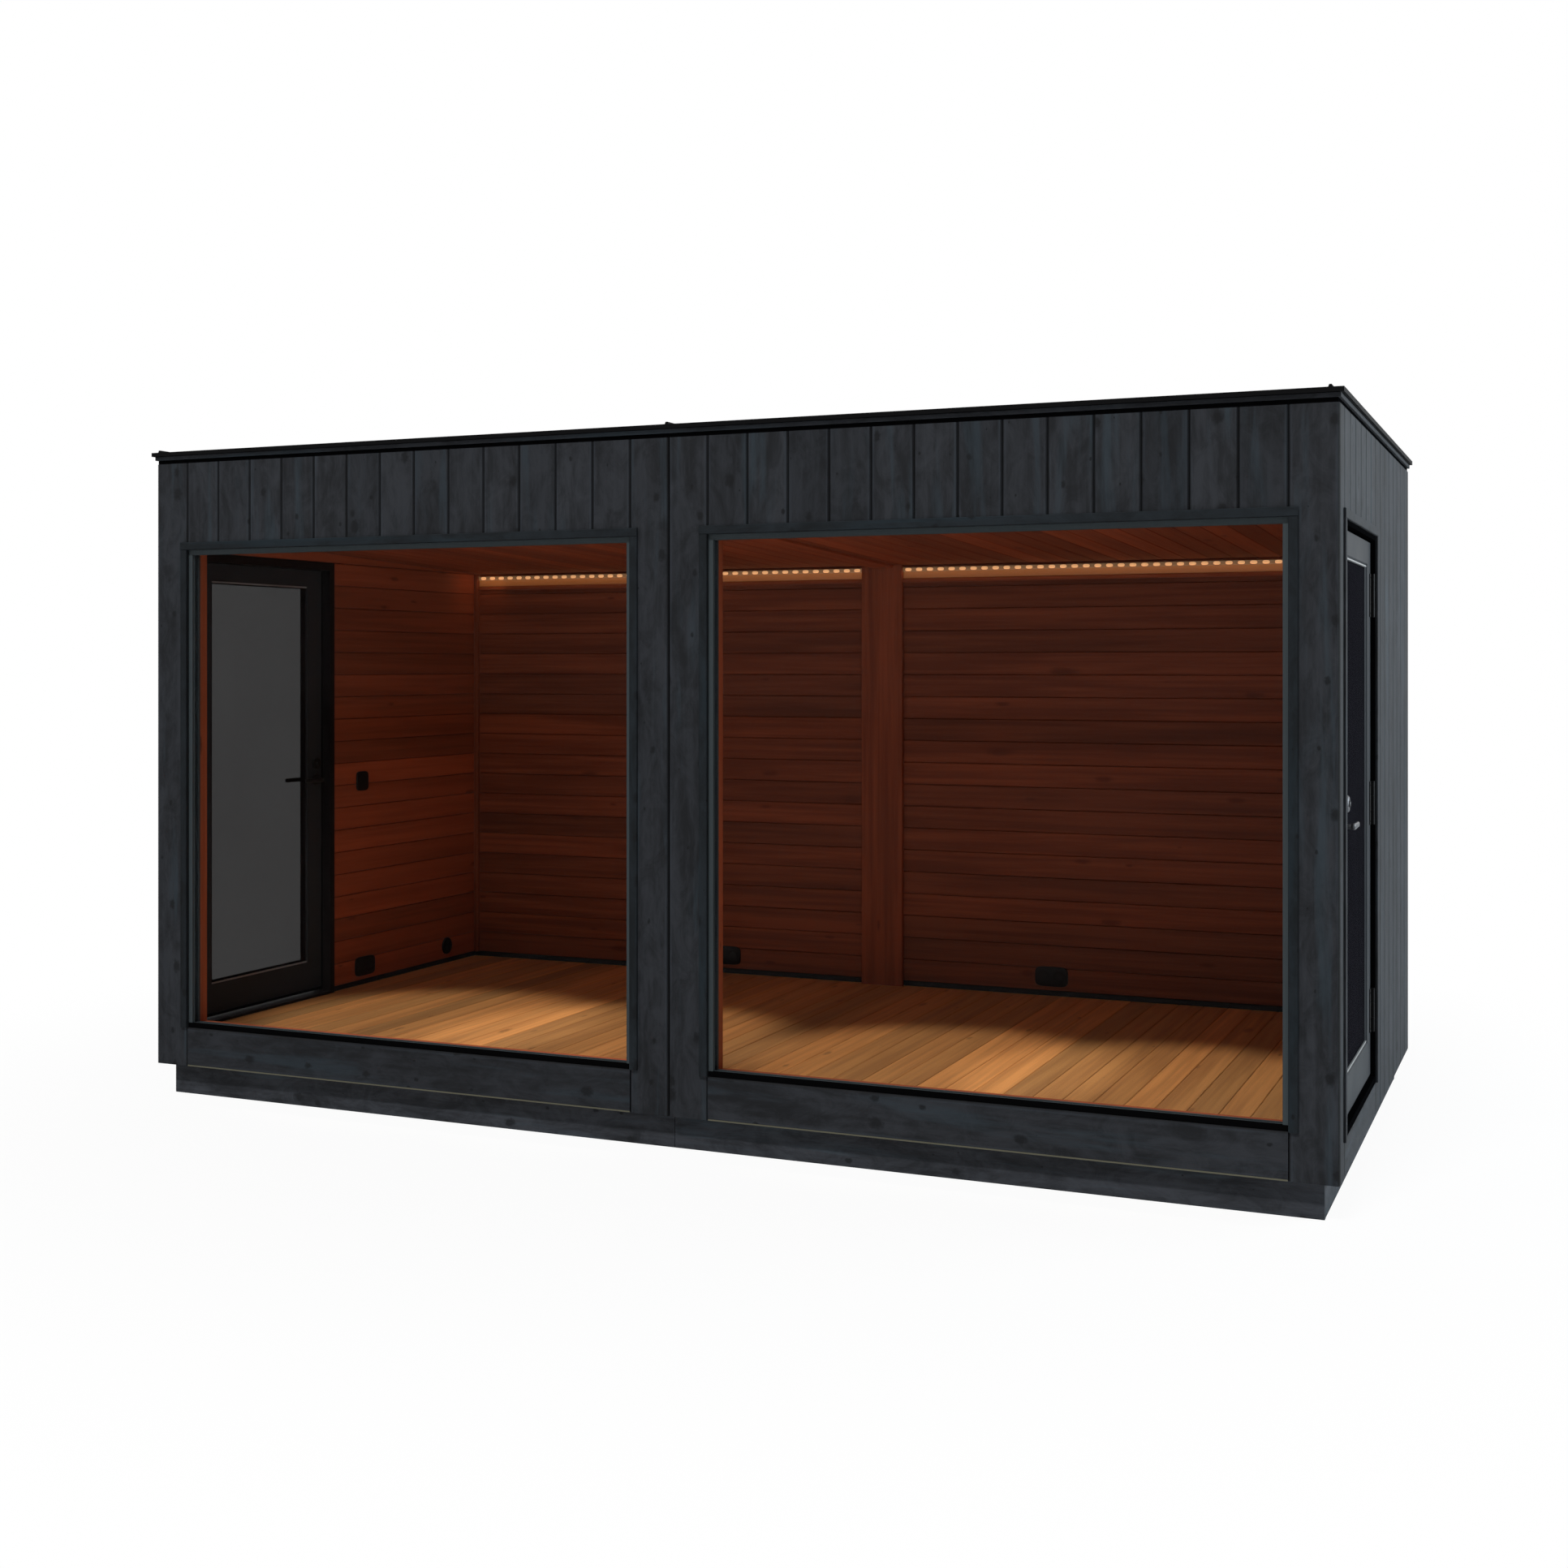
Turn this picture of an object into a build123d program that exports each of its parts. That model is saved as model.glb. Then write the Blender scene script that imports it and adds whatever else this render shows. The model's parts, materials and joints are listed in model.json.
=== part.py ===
"""Outdoor sauna cabin: a flat-roofed timber cabin of two equal modules.

Origin at the centre of the footprint on the ground, +Z up, +X along the long glazed front
and -Y out of that front. Millimetres.
"""
from build123d import *
import os

# Overall body, measured over the cladding
length = 4500.0
depth = 2250.0
board_pitch = 150.0
plinth_height = 120.0
cladding_top = 2475.0

# Wall build-up, from the outside in
cladding = 20.0
core = 65.0
lining = 15.0

# Joints between like pieces that stay apart
module_gap = 2.0
board_gap = 2.0

# Base
plinth_recess = 50.0
plinth_board = 25.0
bearer_width = 60.0
bearers_per_module = 3
drip_thickness = 5.0
floor_panel = 110.0
floor_board = 15.0
skirting_gap = 25.0

# Roof, with heights taken from the top of the cladding
roof_depth = 205.0
deck_rise = 30.0
trim_overhang = 15.0
trim_rise = 45.0
trim_width = 75.0
fascia_gap = 15.0
fascia_projection = 5.0
rib_height = 8.0
rib_width = 14.0
rib_setback = 40.0
cap_width = 60.0
cap_thickness = 5.0

# Windows, under the short boards that the head carries
head_boards = 340.0
ceiling_rise = 70.0
casing_width = 30.0
casing_thickness = 8.0
window_bar = 18.0
window_frame_depth = 45.0
window_frame_setback = 8.0
window_glass = 24.0
window_reveal = 12.0
glass_groove = 10.0
glass_play = 0.3

# Doors, one in each end wall, measured from the front face
door_offset = 125.0
door_opening = 880.0
jamb = 16.0
threshold_height = 25.0
leaf_gap = 8.0
leaf_setback = 15.0
leaf_thickness = 40.0
stop_gap = 6.0
stop_width = 18.0
stile = 105.0
top_rail = 84.0
bottom_rail = 130.0
door_glass = 24.0
leaf_bevel = 6.0
leaf_arris = 2.0

# Hinges: the barrel stands on the leaf's face, at its hinged edge
hinge_height = 150.0
hinge_top_distance = 184.0
hinge_foot_distance = 224.0
hinge_axis_standoff = 8.0
hinge_axis_overhang = 1.0
knuckle_radius = 6.5
pin_radius = 3.2
pin_play = 0.05
knuckle_gap = 0.5
hinge_plate = 3.0
hinge_plate_width = 27.0
hinge_plate_inset = 7.0

# Lever handle, with the lock's collar above it
lever_height_above_floor = 940.0
lever_to_lock = 70.0
backset = 50.0
rosette_radius = 26.0
rosette_thickness = 9.0
neck_radius = 9.0
neck_play = 0.05
spindle_hole_radius = 11.0
neck_length = 40.0
grip_length = 125.0
grip_height = 20.0
grip_thickness = 14.0
grip_bevel = 3.0
collar_radius = 27.0
collar_depth = 20.0
collar_bevel = 5.0
cylinder_radius = 8.5
cylinder_projection = 4.0

# Fittings indoors
pilaster_width = 195.0
pilaster_thickness = 18.0
cover_width = 110.0
cover_thickness = 10.0
led_drop = 11.0
led_height = 18.0
led_depth = 10.0
batten_drop = 62.0
batten_height = 16.0
batten_depth = 12.0
corner_batten = 22.0
plate_thickness = 8.0
plate_height = 86.0
double_plate_width = 146.0
round_plate_radius = 40.0
socket_centre_height = 86.0
switch_centre_height = 920.0
back_socket_offset = 780.0
socket_behind_door = 220.0
switch_behind_door = 200.0
round_plate_from_back = 263.0

# Worked-out planes and lines
half_length = length / 2
half_depth = depth / 2
front = -half_depth
back = half_depth
wall = cladding + core + lining
core_front = front + cladding
core_back = back - cladding
inner_front = front + wall
inner_back = back - wall
inner_end = half_length - wall
core_end = half_length - cladding
lining_plane = half_length - cladding - core
floor_panel_top = plinth_height + floor_panel
floor_top = floor_panel_top + floor_board
lining_foot = floor_top + skirting_gap
roof_top = cladding_top + deck_rise
wall_core_top = roof_top - roof_depth
trim_top = cladding_top + trim_rise
fascia_foot = cladding_top + fascia_gap
drip_top = plinth_height + drip_thickness
window_sill = plinth_height + board_pitch
opening_head = cladding_top - head_boards
ceiling_back = opening_head
ceiling_front = opening_head + ceiling_rise
half_gap = module_gap / 2
window_width = length / 2 - 2 * board_pitch
window_centre = length / 4
window_height = opening_head - window_sill
window_middle = (opening_head + window_sill) / 2
door_front = front + door_offset
door_back = door_front + door_opening
door_centre = (door_front + door_back) / 2
door_foot = floor_panel_top
door_height = opening_head - door_foot
leaf_low = door_foot + threshold_height + leaf_gap
leaf_high = opening_head - jamb - leaf_gap
leaf_front = door_front + jamb + leaf_gap
leaf_back = door_back - jamb - leaf_gap
leaf_width = leaf_back - leaf_front
leaf_outer = half_length - leaf_setback
leaf_inner = leaf_outer - leaf_thickness
hinge_x = leaf_outer + hinge_axis_standoff
hinge_y = leaf_back + hinge_axis_overhang
hinge_low = leaf_low + hinge_foot_distance
hinge_high = leaf_high - hinge_top_distance
hinge_heights = [hinge_low, (hinge_low + hinge_high) / 2, hinge_high]
lever_y = leaf_front + backset
lever_z = floor_top + lever_height_above_floor
lock_z = lever_z + lever_to_lock
ceiling_slope = (ceiling_back - ceiling_front) / (inner_back - inner_front)


def ceiling_height(y):
    """Height of the sloping ceiling above the depth y."""
    return ceiling_front + ceiling_slope * (y - inner_front)


def finish(piece, label):
    """Name a finished piece and write it."""
    piece.part.label = label
    export_step(piece.part, f"parts/{label}.step")


os.makedirs("parts", exist_ok=True)

# Base: bearers, recessed plinth, drip strips and floor
base_left = -half_length + plinth_recess
base_front = front + plinth_recess
base_back = back - plinth_recess
bearer_pitch = (half_length - plinth_recess - plinth_board - bearer_width) / bearers_per_module

with BuildPart() as bearers:
    with BuildSketch():
        with Locations((window_centre, 0), (-window_centre, 0)):
            with GridLocations(bearer_pitch, 0, bearers_per_module, 1):
                Rectangle(bearer_width, base_back - base_front - 2 * plinth_board)
    extrude(amount=plinth_height)
finish(bearers, "bearers")

with BuildPart() as plinth:
    with BuildSketch():
        for y in (base_front + plinth_board / 2, base_back - plinth_board / 2):
            for side in (-1, 1):
                with Locations((side * (half_gap - base_left) / 2, y)):
                    Rectangle(-base_left - half_gap, plinth_board)
        for side in (-1, 1):
            with Locations((side * (-base_left - plinth_board / 2), 0)):
                Rectangle(plinth_board, base_back - base_front - 2 * plinth_board - 2 * board_gap)
    extrude(amount=plinth_height)
finish(plinth, "plinth")

with BuildPart() as drip_strips:
    with BuildSketch(Plane.XY.offset(plinth_height)):
        for side in (-1, 1):
            with Locations((side * window_centre, front + cladding / 2)):
                Rectangle(window_width - 2 * board_gap, cladding)
    extrude(amount=drip_thickness)
finish(drip_strips, "drip_strips")

with BuildPart() as floor_panels:
    with BuildSketch(Plane.XY.offset(plinth_height)):
        for side in (-1, 1):
            with Locations((side * (core_end + half_gap) / 2, 0)):
                Rectangle(core_end - half_gap, core_back - core_front)
    extrude(amount=floor_panel_top - plinth_height)
finish(floor_panels, "floor_panels")

with BuildPart() as floor_boards:
    with BuildSketch(Plane.XY.offset(floor_panel_top)):
        for side in (-1, 1):
            with Locations((side * (lining_plane + half_gap) / 2, 0)):
                Rectangle(lining_plane - half_gap, depth - 2 * (cladding + core))
            with Locations((side * (inner_end + lining / 2), door_centre)):
                Rectangle(lining, door_opening, mode=Mode.SUBTRACT)
    extrude(amount=floor_board)
finish(floor_boards, "floor_boards")

# Front wall frame: posts at the corners and each side of the module joint
front_core_plane = Plane.XY.offset(floor_panel_top)
with BuildPart() as front_posts:
    with BuildSketch(front_core_plane):
        for side in (-1, 1):
            corner_width = board_pitch - cladding
            with Locations((side * (core_end - corner_width / 2), core_front + core / 2)):
                Rectangle(corner_width, core)
            with Locations((side * (half_gap + board_pitch) / 2, core_front + core / 2)):
                Rectangle(board_pitch - half_gap, core)
    extrude(amount=wall_core_top - floor_panel_top)
finish(front_posts, "front_posts")

with BuildPart() as front_headers:
    with BuildSketch(Plane.XY.offset(opening_head)):
        with Locations((window_centre, core_front + core / 2), (-window_centre, core_front + core / 2)):
            Rectangle(window_width, core)
    extrude(amount=wall_core_top - opening_head)
finish(front_headers, "front_headers")

with BuildPart() as front_sills:
    with BuildSketch(front_core_plane):
        with Locations((window_centre, core_front + core / 2), (-window_centre, core_front + core / 2)):
            Rectangle(window_width, core)
    extrude(amount=window_sill - floor_panel_top)
finish(front_sills, "front_sills")

with BuildPart() as back_walls:
    with BuildSketch(front_core_plane):
        for side in (-1, 1):
            with Locations((side * (core_end + half_gap) / 2, core_back - core / 2)):
                Rectangle(core_end - half_gap, core)
    extrude(amount=wall_core_top - floor_panel_top)
finish(back_walls, "back_walls")

# End walls: a short post in front of the door, a panel behind it and a header over it
core_inner_front = core_front + core
core_inner_back = core_back - core
with BuildPart() as door_posts:
    with BuildSketch(front_core_plane):
        for side in (-1, 1):
            with Locations((side * (core_end - core / 2), (core_inner_front + door_front) / 2)):
                Rectangle(core, door_front - core_inner_front)
    extrude(amount=wall_core_top - floor_panel_top)
finish(door_posts, "door_posts")

for side, name in ((-1, "left_wall"), (1, "right_wall")):
    with BuildPart() as end_wall:
        with BuildSketch(front_core_plane):
            with Locations((side * (core_end - core / 2), (door_back + core_inner_back) / 2)):
                Rectangle(core, core_inner_back - door_back)
        extrude(amount=wall_core_top - floor_panel_top)
    finish(end_wall, name)

with BuildPart() as door_headers:
    with BuildSketch(Plane.XY.offset(opening_head)):
        for side in (-1, 1):
            with Locations((side * (core_end - core / 2), door_centre)):
                Rectangle(core, door_opening)
    extrude(amount=wall_core_top - opening_head)
finish(door_headers, "door_headers")

# Cladding: full-height boards beside each opening, short ones over it and a board below it
with BuildPart() as front_cladding:
    for side in (-1, 1):
        with BuildSketch(Plane.XZ.offset(-front)):
            strip_middle = (plinth_height + cladding_top) / 2
            with Locations((side * (half_length - board_pitch / 2), strip_middle)):
                Rectangle(board_pitch, cladding_top - plinth_height)
            with Locations((side * (half_gap + board_pitch) / 2, strip_middle)):
                Rectangle(board_pitch - half_gap, cladding_top - plinth_height)
            with Locations((side * window_centre, (opening_head + cladding_top) / 2)):
                Rectangle(window_width - 2 * board_gap, cladding_top - opening_head)
            with Locations((side * window_centre, (drip_top + window_sill) / 2)):
                Rectangle(window_width - 2 * board_gap, window_sill - drip_top)
        extrude(amount=-cladding)
finish(front_cladding, "front_cladding")

with BuildPart() as back_cladding:
    with BuildSketch(Plane.XY.offset(plinth_height)):
        for side in (-1, 1):
            with Locations((side * (half_length + half_gap) / 2, back - cladding / 2)):
                Rectangle(half_length - half_gap, cladding)
    extrude(amount=cladding_top - plinth_height)
finish(back_cladding, "back_cladding")

for side, name in ((-1, "left_cladding"), (1, "right_cladding")):
    with BuildPart() as end_cladding:
        with BuildSketch(Plane.YZ.offset(core_end)):
            strip_middle = (plinth_height + cladding_top) / 2
            with Locations(((core_front + door_front) / 2, strip_middle)):
                Rectangle(door_front - core_front, cladding_top - plinth_height)
            with Locations(((door_back + core_back) / 2, strip_middle)):
                Rectangle(core_back - door_back, cladding_top - plinth_height)
            with Locations((door_centre, (opening_head + cladding_top) / 2)):
                Rectangle(door_opening - 2 * board_gap, cladding_top - opening_head)
            with Locations((door_centre, (plinth_height + door_foot) / 2)):
                Rectangle(door_opening - 2 * board_gap, door_foot - plinth_height)
        extrude(amount=cladding)
        if side < 0:
            mirror(about=Plane.YZ, mode=Mode.REPLACE)
    finish(end_cladding, name)

# Cedar linings, stopped above the floor to leave a shadow gap
front_lining_top = ceiling_height(inner_front)
with BuildPart() as front_lining:
    for side in (-1, 1):
        with BuildSketch(Plane.XZ.offset(-core_inner_front)):
            strip_middle = (lining_foot + front_lining_top) / 2
            outer_width = lining_plane - window_centre - window_width / 2
            with Locations((side * (lining_plane - outer_width / 2), strip_middle)):
                Rectangle(outer_width, front_lining_top - lining_foot)
            with Locations((side * (half_gap + board_pitch) / 2, strip_middle)):
                Rectangle(board_pitch - half_gap, front_lining_top - lining_foot)
            with Locations((side * window_centre, (opening_head + front_lining_top) / 2)):
                Rectangle(window_width - 2 * board_gap, front_lining_top - opening_head)
        extrude(amount=-lining)
finish(front_lining, "front_lining")

back_lining_top = ceiling_height(core_inner_back)
with BuildPart() as back_lining:
    with BuildSketch(Plane.XY.offset(lining_foot)):
        for side in (-1, 1):
            with Locations((side * (lining_plane + half_gap) / 2, inner_back + lining / 2)):
                Rectangle(lining_plane - half_gap, lining)
    extrude(amount=back_lining_top - lining_foot)
finish(back_lining, "back_lining")

for side, name in ((-1, "left_lining"), (1, "right_lining")):
    with BuildPart() as end_lining:
        with BuildSketch(Plane.YZ.offset(inner_end)):
            with BuildLine():
                Polyline(
                    (inner_front, lining_foot),
                    (inner_back, lining_foot),
                    (inner_back, ceiling_height(inner_back)),
                    (inner_front, ceiling_height(inner_front)),
                    close=True,
                )
            make_face()
            with Locations((door_centre, (lining_foot + opening_head) / 2)):
                Rectangle(door_opening, opening_head - lining_foot, mode=Mode.SUBTRACT)
        extrude(amount=lining)
        if side < 0:
            mirror(about=Plane.YZ, mode=Mode.REPLACE)
    finish(end_lining, name)

# Roof panels over the walls, and ceilings that fall gently to the back
with BuildPart() as roof_panels:
    with BuildSketch(Plane.XY.offset(wall_core_top)):
        for side in (-1, 1):
            with Locations((side * (core_end + half_gap) / 2, 0)):
                Rectangle(core_end - half_gap, core_back - core_front)
    extrude(amount=roof_top - wall_core_top)
finish(roof_panels, "roof_panels")

with BuildPart() as ceilings:
    for side in (-1, 1):
        with BuildSketch(Plane.YZ.offset(side * (lining_plane + half_gap) / 2)):
            with BuildLine():
                Polyline(
                    (core_inner_front, wall_core_top),
                    (core_inner_back, wall_core_top),
                    (core_inner_back, ceiling_height(core_inner_back)),
                    (core_inner_front, ceiling_height(core_inner_front)),
                    close=True,
                )
            make_face()
        extrude(amount=(lining_plane - half_gap) / 2, both=True)
finish(ceilings, "ceilings")

# Roof edge: fascia boards with a shadow gap under them, capped by trims that also cover the
# edge of the deck; the end trims have a raised water rib
fascia_depth = cladding + fascia_projection
fascia_height = roof_top - fascia_foot
with BuildPart() as roof_fascias:
    with BuildSketch(Plane.XY.offset(fascia_foot)):
        for side in (-1, 1):
            with Locations((0, side * (core_back + fascia_depth / 2))):
                Rectangle(length + 2 * fascia_projection, fascia_depth)
            with Locations((side * (core_end + fascia_depth / 2), 0)):
                Rectangle(fascia_depth, core_back - core_front - 2 * board_gap)
    extrude(amount=fascia_height)
finish(roof_fascias, "roof_fascias")

trim_length = depth + 2 * trim_overhang
for side, name in ((-1, "roof_trim_left"), (1, "roof_trim_right")):
    with BuildPart() as end_trim:
        with BuildSketch(Plane.XZ.offset(-half_depth - trim_overhang)):
            outer = half_length + trim_overhang
            with BuildLine():
                Polyline(
                    (outer, roof_top),
                    (outer, trim_top),
                    (outer - rib_setback + rib_width / 2, trim_top),
                    (outer - rib_setback + rib_width / 4, trim_top + rib_height),
                    (outer - rib_setback - rib_width / 4, trim_top + rib_height),
                    (outer - rib_setback - rib_width / 2, trim_top),
                    (outer - trim_width, trim_top),
                    (outer - trim_width, roof_top),
                    close=True,
                )
            make_face()
        extrude(amount=trim_length)
        if side < 0:
            mirror(about=Plane.YZ, mode=Mode.REPLACE)
    finish(end_trim, name)

long_trim_length = length + 2 * trim_overhang - 2 * trim_width
for side, name in ((-1, "roof_trim_front"), (1, "roof_trim_back")):
    with BuildPart() as long_trim:
        with BuildSketch(Plane.YZ):
            outer = half_depth + trim_overhang
            with BuildLine():
                Polyline(
                    (outer, roof_top),
                    (outer, trim_top),
                    (outer - trim_width, trim_top),
                    (outer - trim_width, roof_top),
                    close=True,
                )
            make_face()
        extrude(amount=long_trim_length / 2, both=True)
        if side < 0:
            mirror(about=Plane.XZ, mode=Mode.REPLACE)
    finish(long_trim, name)

with BuildPart() as roof_joint_cap:
    deck_length = trim_length - 2 * trim_width
    with BuildSketch(Plane.XZ.offset(-deck_length / 2)):
        with Locations((0, roof_top)):
            Rectangle(cap_width, cap_thickness, align=(Align.CENTER, Align.MIN))
            Rectangle(rib_width, trim_top - roof_top, align=(Align.CENTER, Align.MIN))
    extrude(amount=deck_length)
    with BuildSketch(Plane.XZ.offset(-trim_length / 2)):
        with BuildLine():
            Polyline(
                (-rib_width / 2, trim_top),
                (rib_width / 2, trim_top),
                (rib_width / 4, trim_top + rib_height),
                (-rib_width / 4, trim_top + rib_height),
                close=True,
            )
        make_face()
    extrude(amount=trim_length)
finish(roof_joint_cap, "roof_joint_cap")

# Windows: casings over the cladding, slim frames with a glazing groove, panes and cedar reveals
window_frame_front = front + window_frame_setback
glass_front = window_frame_front + (window_frame_depth - window_glass) / 2
pane_width = window_width - 2 * (window_bar - glass_groove) - 2 * glass_play
pane_height = window_height - 2 * (window_bar - glass_groove) - 2 * glass_play

with BuildPart() as window_casings:
    with BuildSketch(Plane.XZ.offset(-front)):
        with Locations((window_centre, window_sill), (-window_centre, window_sill)):
            Rectangle(
                window_width + 2 * casing_width,
                window_height + casing_width,
                align=(Align.CENTER, Align.MIN),
            )
        with Locations((window_centre, window_sill), (-window_centre, window_sill)):
            Rectangle(window_width, window_height, align=(Align.CENTER, Align.MIN), mode=Mode.SUBTRACT)
    extrude(amount=casing_thickness)
finish(window_casings, "window_casings")

with BuildPart() as window_frames:
    with BuildSketch(Plane.XZ.offset(-window_frame_front)):
        with Locations((window_centre, window_middle), (-window_centre, window_middle)):
            Rectangle(window_width, window_height)
            Rectangle(
                window_width - 2 * window_bar,
                window_height - 2 * window_bar,
                mode=Mode.SUBTRACT,
            )
    extrude(amount=-window_frame_depth)
    with BuildSketch(Plane.XZ.offset(-glass_front + glass_play)):
        with Locations((window_centre, window_middle), (-window_centre, window_middle)):
            Rectangle(pane_width + 2 * glass_play, pane_height + 2 * glass_play)
    extrude(amount=-window_glass - 2 * glass_play, mode=Mode.SUBTRACT)
finish(window_frames, "window_frames")

with BuildPart() as window_glass_panes:
    with BuildSketch(Plane.XZ.offset(-glass_front)):
        with Locations((window_centre, window_middle), (-window_centre, window_middle)):
            Rectangle(pane_width, pane_height)
    extrude(amount=-window_glass)
finish(window_glass_panes, "window_glass")

with BuildPart() as window_reveals:
    reveal_front = window_frame_front + window_frame_depth
    with BuildSketch(Plane.XZ.offset(-reveal_front)):
        with Locations((window_centre, window_middle), (-window_centre, window_middle)):
            Rectangle(window_width, window_height)
            Rectangle(
                window_width - 2 * window_reveal,
                window_height - 2 * window_reveal,
                mode=Mode.SUBTRACT,
            )
    extrude(amount=reveal_front - inner_front)
finish(window_reveals, "window_reveals")

# Door casings and frames, one of each in both end walls
with BuildPart() as door_casings:
    with BuildSketch(Plane.YZ.offset(half_length)):
        with Locations((door_centre, door_foot)):
            Rectangle(
                door_opening + 2 * casing_width,
                door_height + casing_width,
                align=(Align.CENTER, Align.MIN),
            )
            Rectangle(door_opening, door_height, align=(Align.CENTER, Align.MIN), mode=Mode.SUBTRACT)
    extrude(amount=casing_thickness)
    mirror(about=Plane.YZ)
finish(door_casings, "door_casings")

clear_width = door_opening - 2 * jamb
clear_foot = door_foot + threshold_height
clear_height = opening_head - jamb - clear_foot
stop_plane = leaf_inner - stop_gap
for side, name in ((-1, "left_door_frame"), (1, "right_door_frame")):
    with BuildPart() as door_frame:
        with BuildSketch(Plane.YZ.offset(half_length)):
            with Locations((door_centre, door_foot)):
                Rectangle(door_opening, door_height, align=(Align.CENTER, Align.MIN))
            with Locations((door_centre, clear_foot)):
                Rectangle(clear_width, clear_height, align=(Align.CENTER, Align.MIN), mode=Mode.SUBTRACT)
        extrude(amount=-wall)
        with BuildSketch(Plane.YZ.offset(stop_plane)):
            with Locations((door_centre, clear_foot)):
                Rectangle(clear_width, clear_height, align=(Align.CENTER, Align.MIN))
                Rectangle(
                    clear_width - 2 * stop_width,
                    clear_height - stop_width,
                    align=(Align.CENTER, Align.MIN),
                    mode=Mode.SUBTRACT,
                )
        extrude(amount=inner_end - stop_plane)
        if side < 0:
            mirror(about=Plane.YZ, mode=Mode.REPLACE)
    finish(door_frame, name)

# Door leaves: stiles and rails round a glazing groove, bored for the lever's spindle. The left
# door is the right one turned half round, so its hinges are at the front
turned_to_left = Location((0, 2 * door_centre, 0), (0, 0, 180))
light_low = leaf_low + bottom_rail
light_high = leaf_high - top_rail
light_middle = (light_low + light_high) / 2
light_width = leaf_width - 2 * stile
light_height = light_high - light_low
leaf_centre_y = (leaf_front + leaf_back) / 2
leaf_middle = (leaf_low + leaf_high) / 2
door_pane_outer = leaf_outer - (leaf_thickness - door_glass) / 2

for side, name in ((-1, "left_door_leaf"), (1, "right_door_leaf")):
    with BuildPart() as door_leaf:
        with BuildSketch(Plane.YZ.offset(leaf_outer)):
            with Locations((leaf_centre_y, leaf_middle)):
                Rectangle(leaf_width, leaf_high - leaf_low)
            with Locations((leaf_centre_y, light_middle)):
                Rectangle(light_width, light_height, mode=Mode.SUBTRACT)
        extrude(amount=-leaf_thickness)
        outer_face = door_leaf.faces().sort_by(Axis.X)[-1]
        chamfer(outer_face.inner_wires()[0].edges(), leaf_bevel)
        outer_face = door_leaf.faces().sort_by(Axis.X)[-1]
        chamfer(outer_face.outer_wire().edges(), leaf_arris)
        with BuildSketch(Plane.YZ.offset(door_pane_outer + glass_play)):
            with Locations((leaf_centre_y, light_middle)):
                Rectangle(
                    light_width + 2 * (glass_groove + glass_play),
                    light_height + 2 * (glass_groove + glass_play),
                )
        extrude(amount=-door_glass - 2 * glass_play, mode=Mode.SUBTRACT)
        with BuildSketch(Plane.YZ.offset(leaf_outer)):
            with Locations((lever_y, lever_z)):
                Circle(spindle_hole_radius)
        extrude(amount=-leaf_thickness, mode=Mode.SUBTRACT)
        if side < 0:
            add(turned_to_left * door_leaf.part, mode=Mode.REPLACE)
    finish(door_leaf, name)

for side, name in ((-1, "left_door_glass"), (1, "right_door_glass")):
    with BuildPart() as door_pane:
        with BuildSketch(Plane.YZ.offset(door_pane_outer)):
            with Locations((leaf_centre_y, light_middle)):
                Rectangle(light_width + 2 * glass_groove, light_height + 2 * glass_groove)
        extrude(amount=-door_glass)
        if side < 0:
            mirror(about=Plane.YZ, mode=Mode.REPLACE)
    finish(door_pane, name)

# Hinges: a plate on the jamb carries the outer knuckles and the pin, a plate on the leaf's
# face carries the middle knuckle
knuckle = hinge_height / 3
jamb_face = door_back - jamb
with BuildPart() as hinge_pins:
    for z in hinge_heights:
        with BuildSketch(Plane.XY.offset(z - hinge_height / 2)):
            with Locations((leaf_outer, jamb_face)):
                Rectangle(hinge_plate_width, hinge_plate, align=(Align.MAX, Align.MAX))
            with Locations((hinge_x, hinge_y)):
                Circle(pin_radius)
        extrude(amount=hinge_height)
        for z_low in (z - hinge_height / 2, z + knuckle / 2 + knuckle_gap):
            with BuildSketch(Plane.XY.offset(z_low)):
                with Locations((hinge_x, hinge_y)):
                    Circle(knuckle_radius)
                with Locations((leaf_outer, jamb_face)):
                    Rectangle(hinge_x - leaf_outer, hinge_plate, align=(Align.MIN, Align.MAX))
            extrude(amount=knuckle - knuckle_gap)
    add(turned_to_left * hinge_pins.part)
finish(hinge_pins, "hinge_pins")

for side, name in ((-1, "left_door_hinges"), (1, "right_door_hinges")):
    with BuildPart() as hinge_leaves:
        for z in hinge_heights:
            with BuildSketch(Plane.XY.offset(z - hinge_height / 2)):
                with Locations((leaf_outer, leaf_back - hinge_plate_inset)):
                    Rectangle(hinge_plate, hinge_plate_width, align=(Align.MIN, Align.MAX))
            extrude(amount=hinge_height)
            with BuildSketch(Plane.XY.offset(z - knuckle / 2 + knuckle_gap)):
                with Locations((hinge_x, hinge_y)):
                    Circle(knuckle_radius)
                with Locations((leaf_outer, leaf_back)):
                    Rectangle(hinge_plate, hinge_plate_inset, align=(Align.MIN, Align.MAX))
                with Locations((hinge_x, hinge_y)):
                    Circle(pin_radius + pin_play, mode=Mode.SUBTRACT)
            extrude(amount=knuckle - 2 * knuckle_gap)
        if side < 0:
            add(turned_to_left * hinge_leaves.part, mode=Mode.REPLACE)
    finish(hinge_leaves, name)

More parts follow.
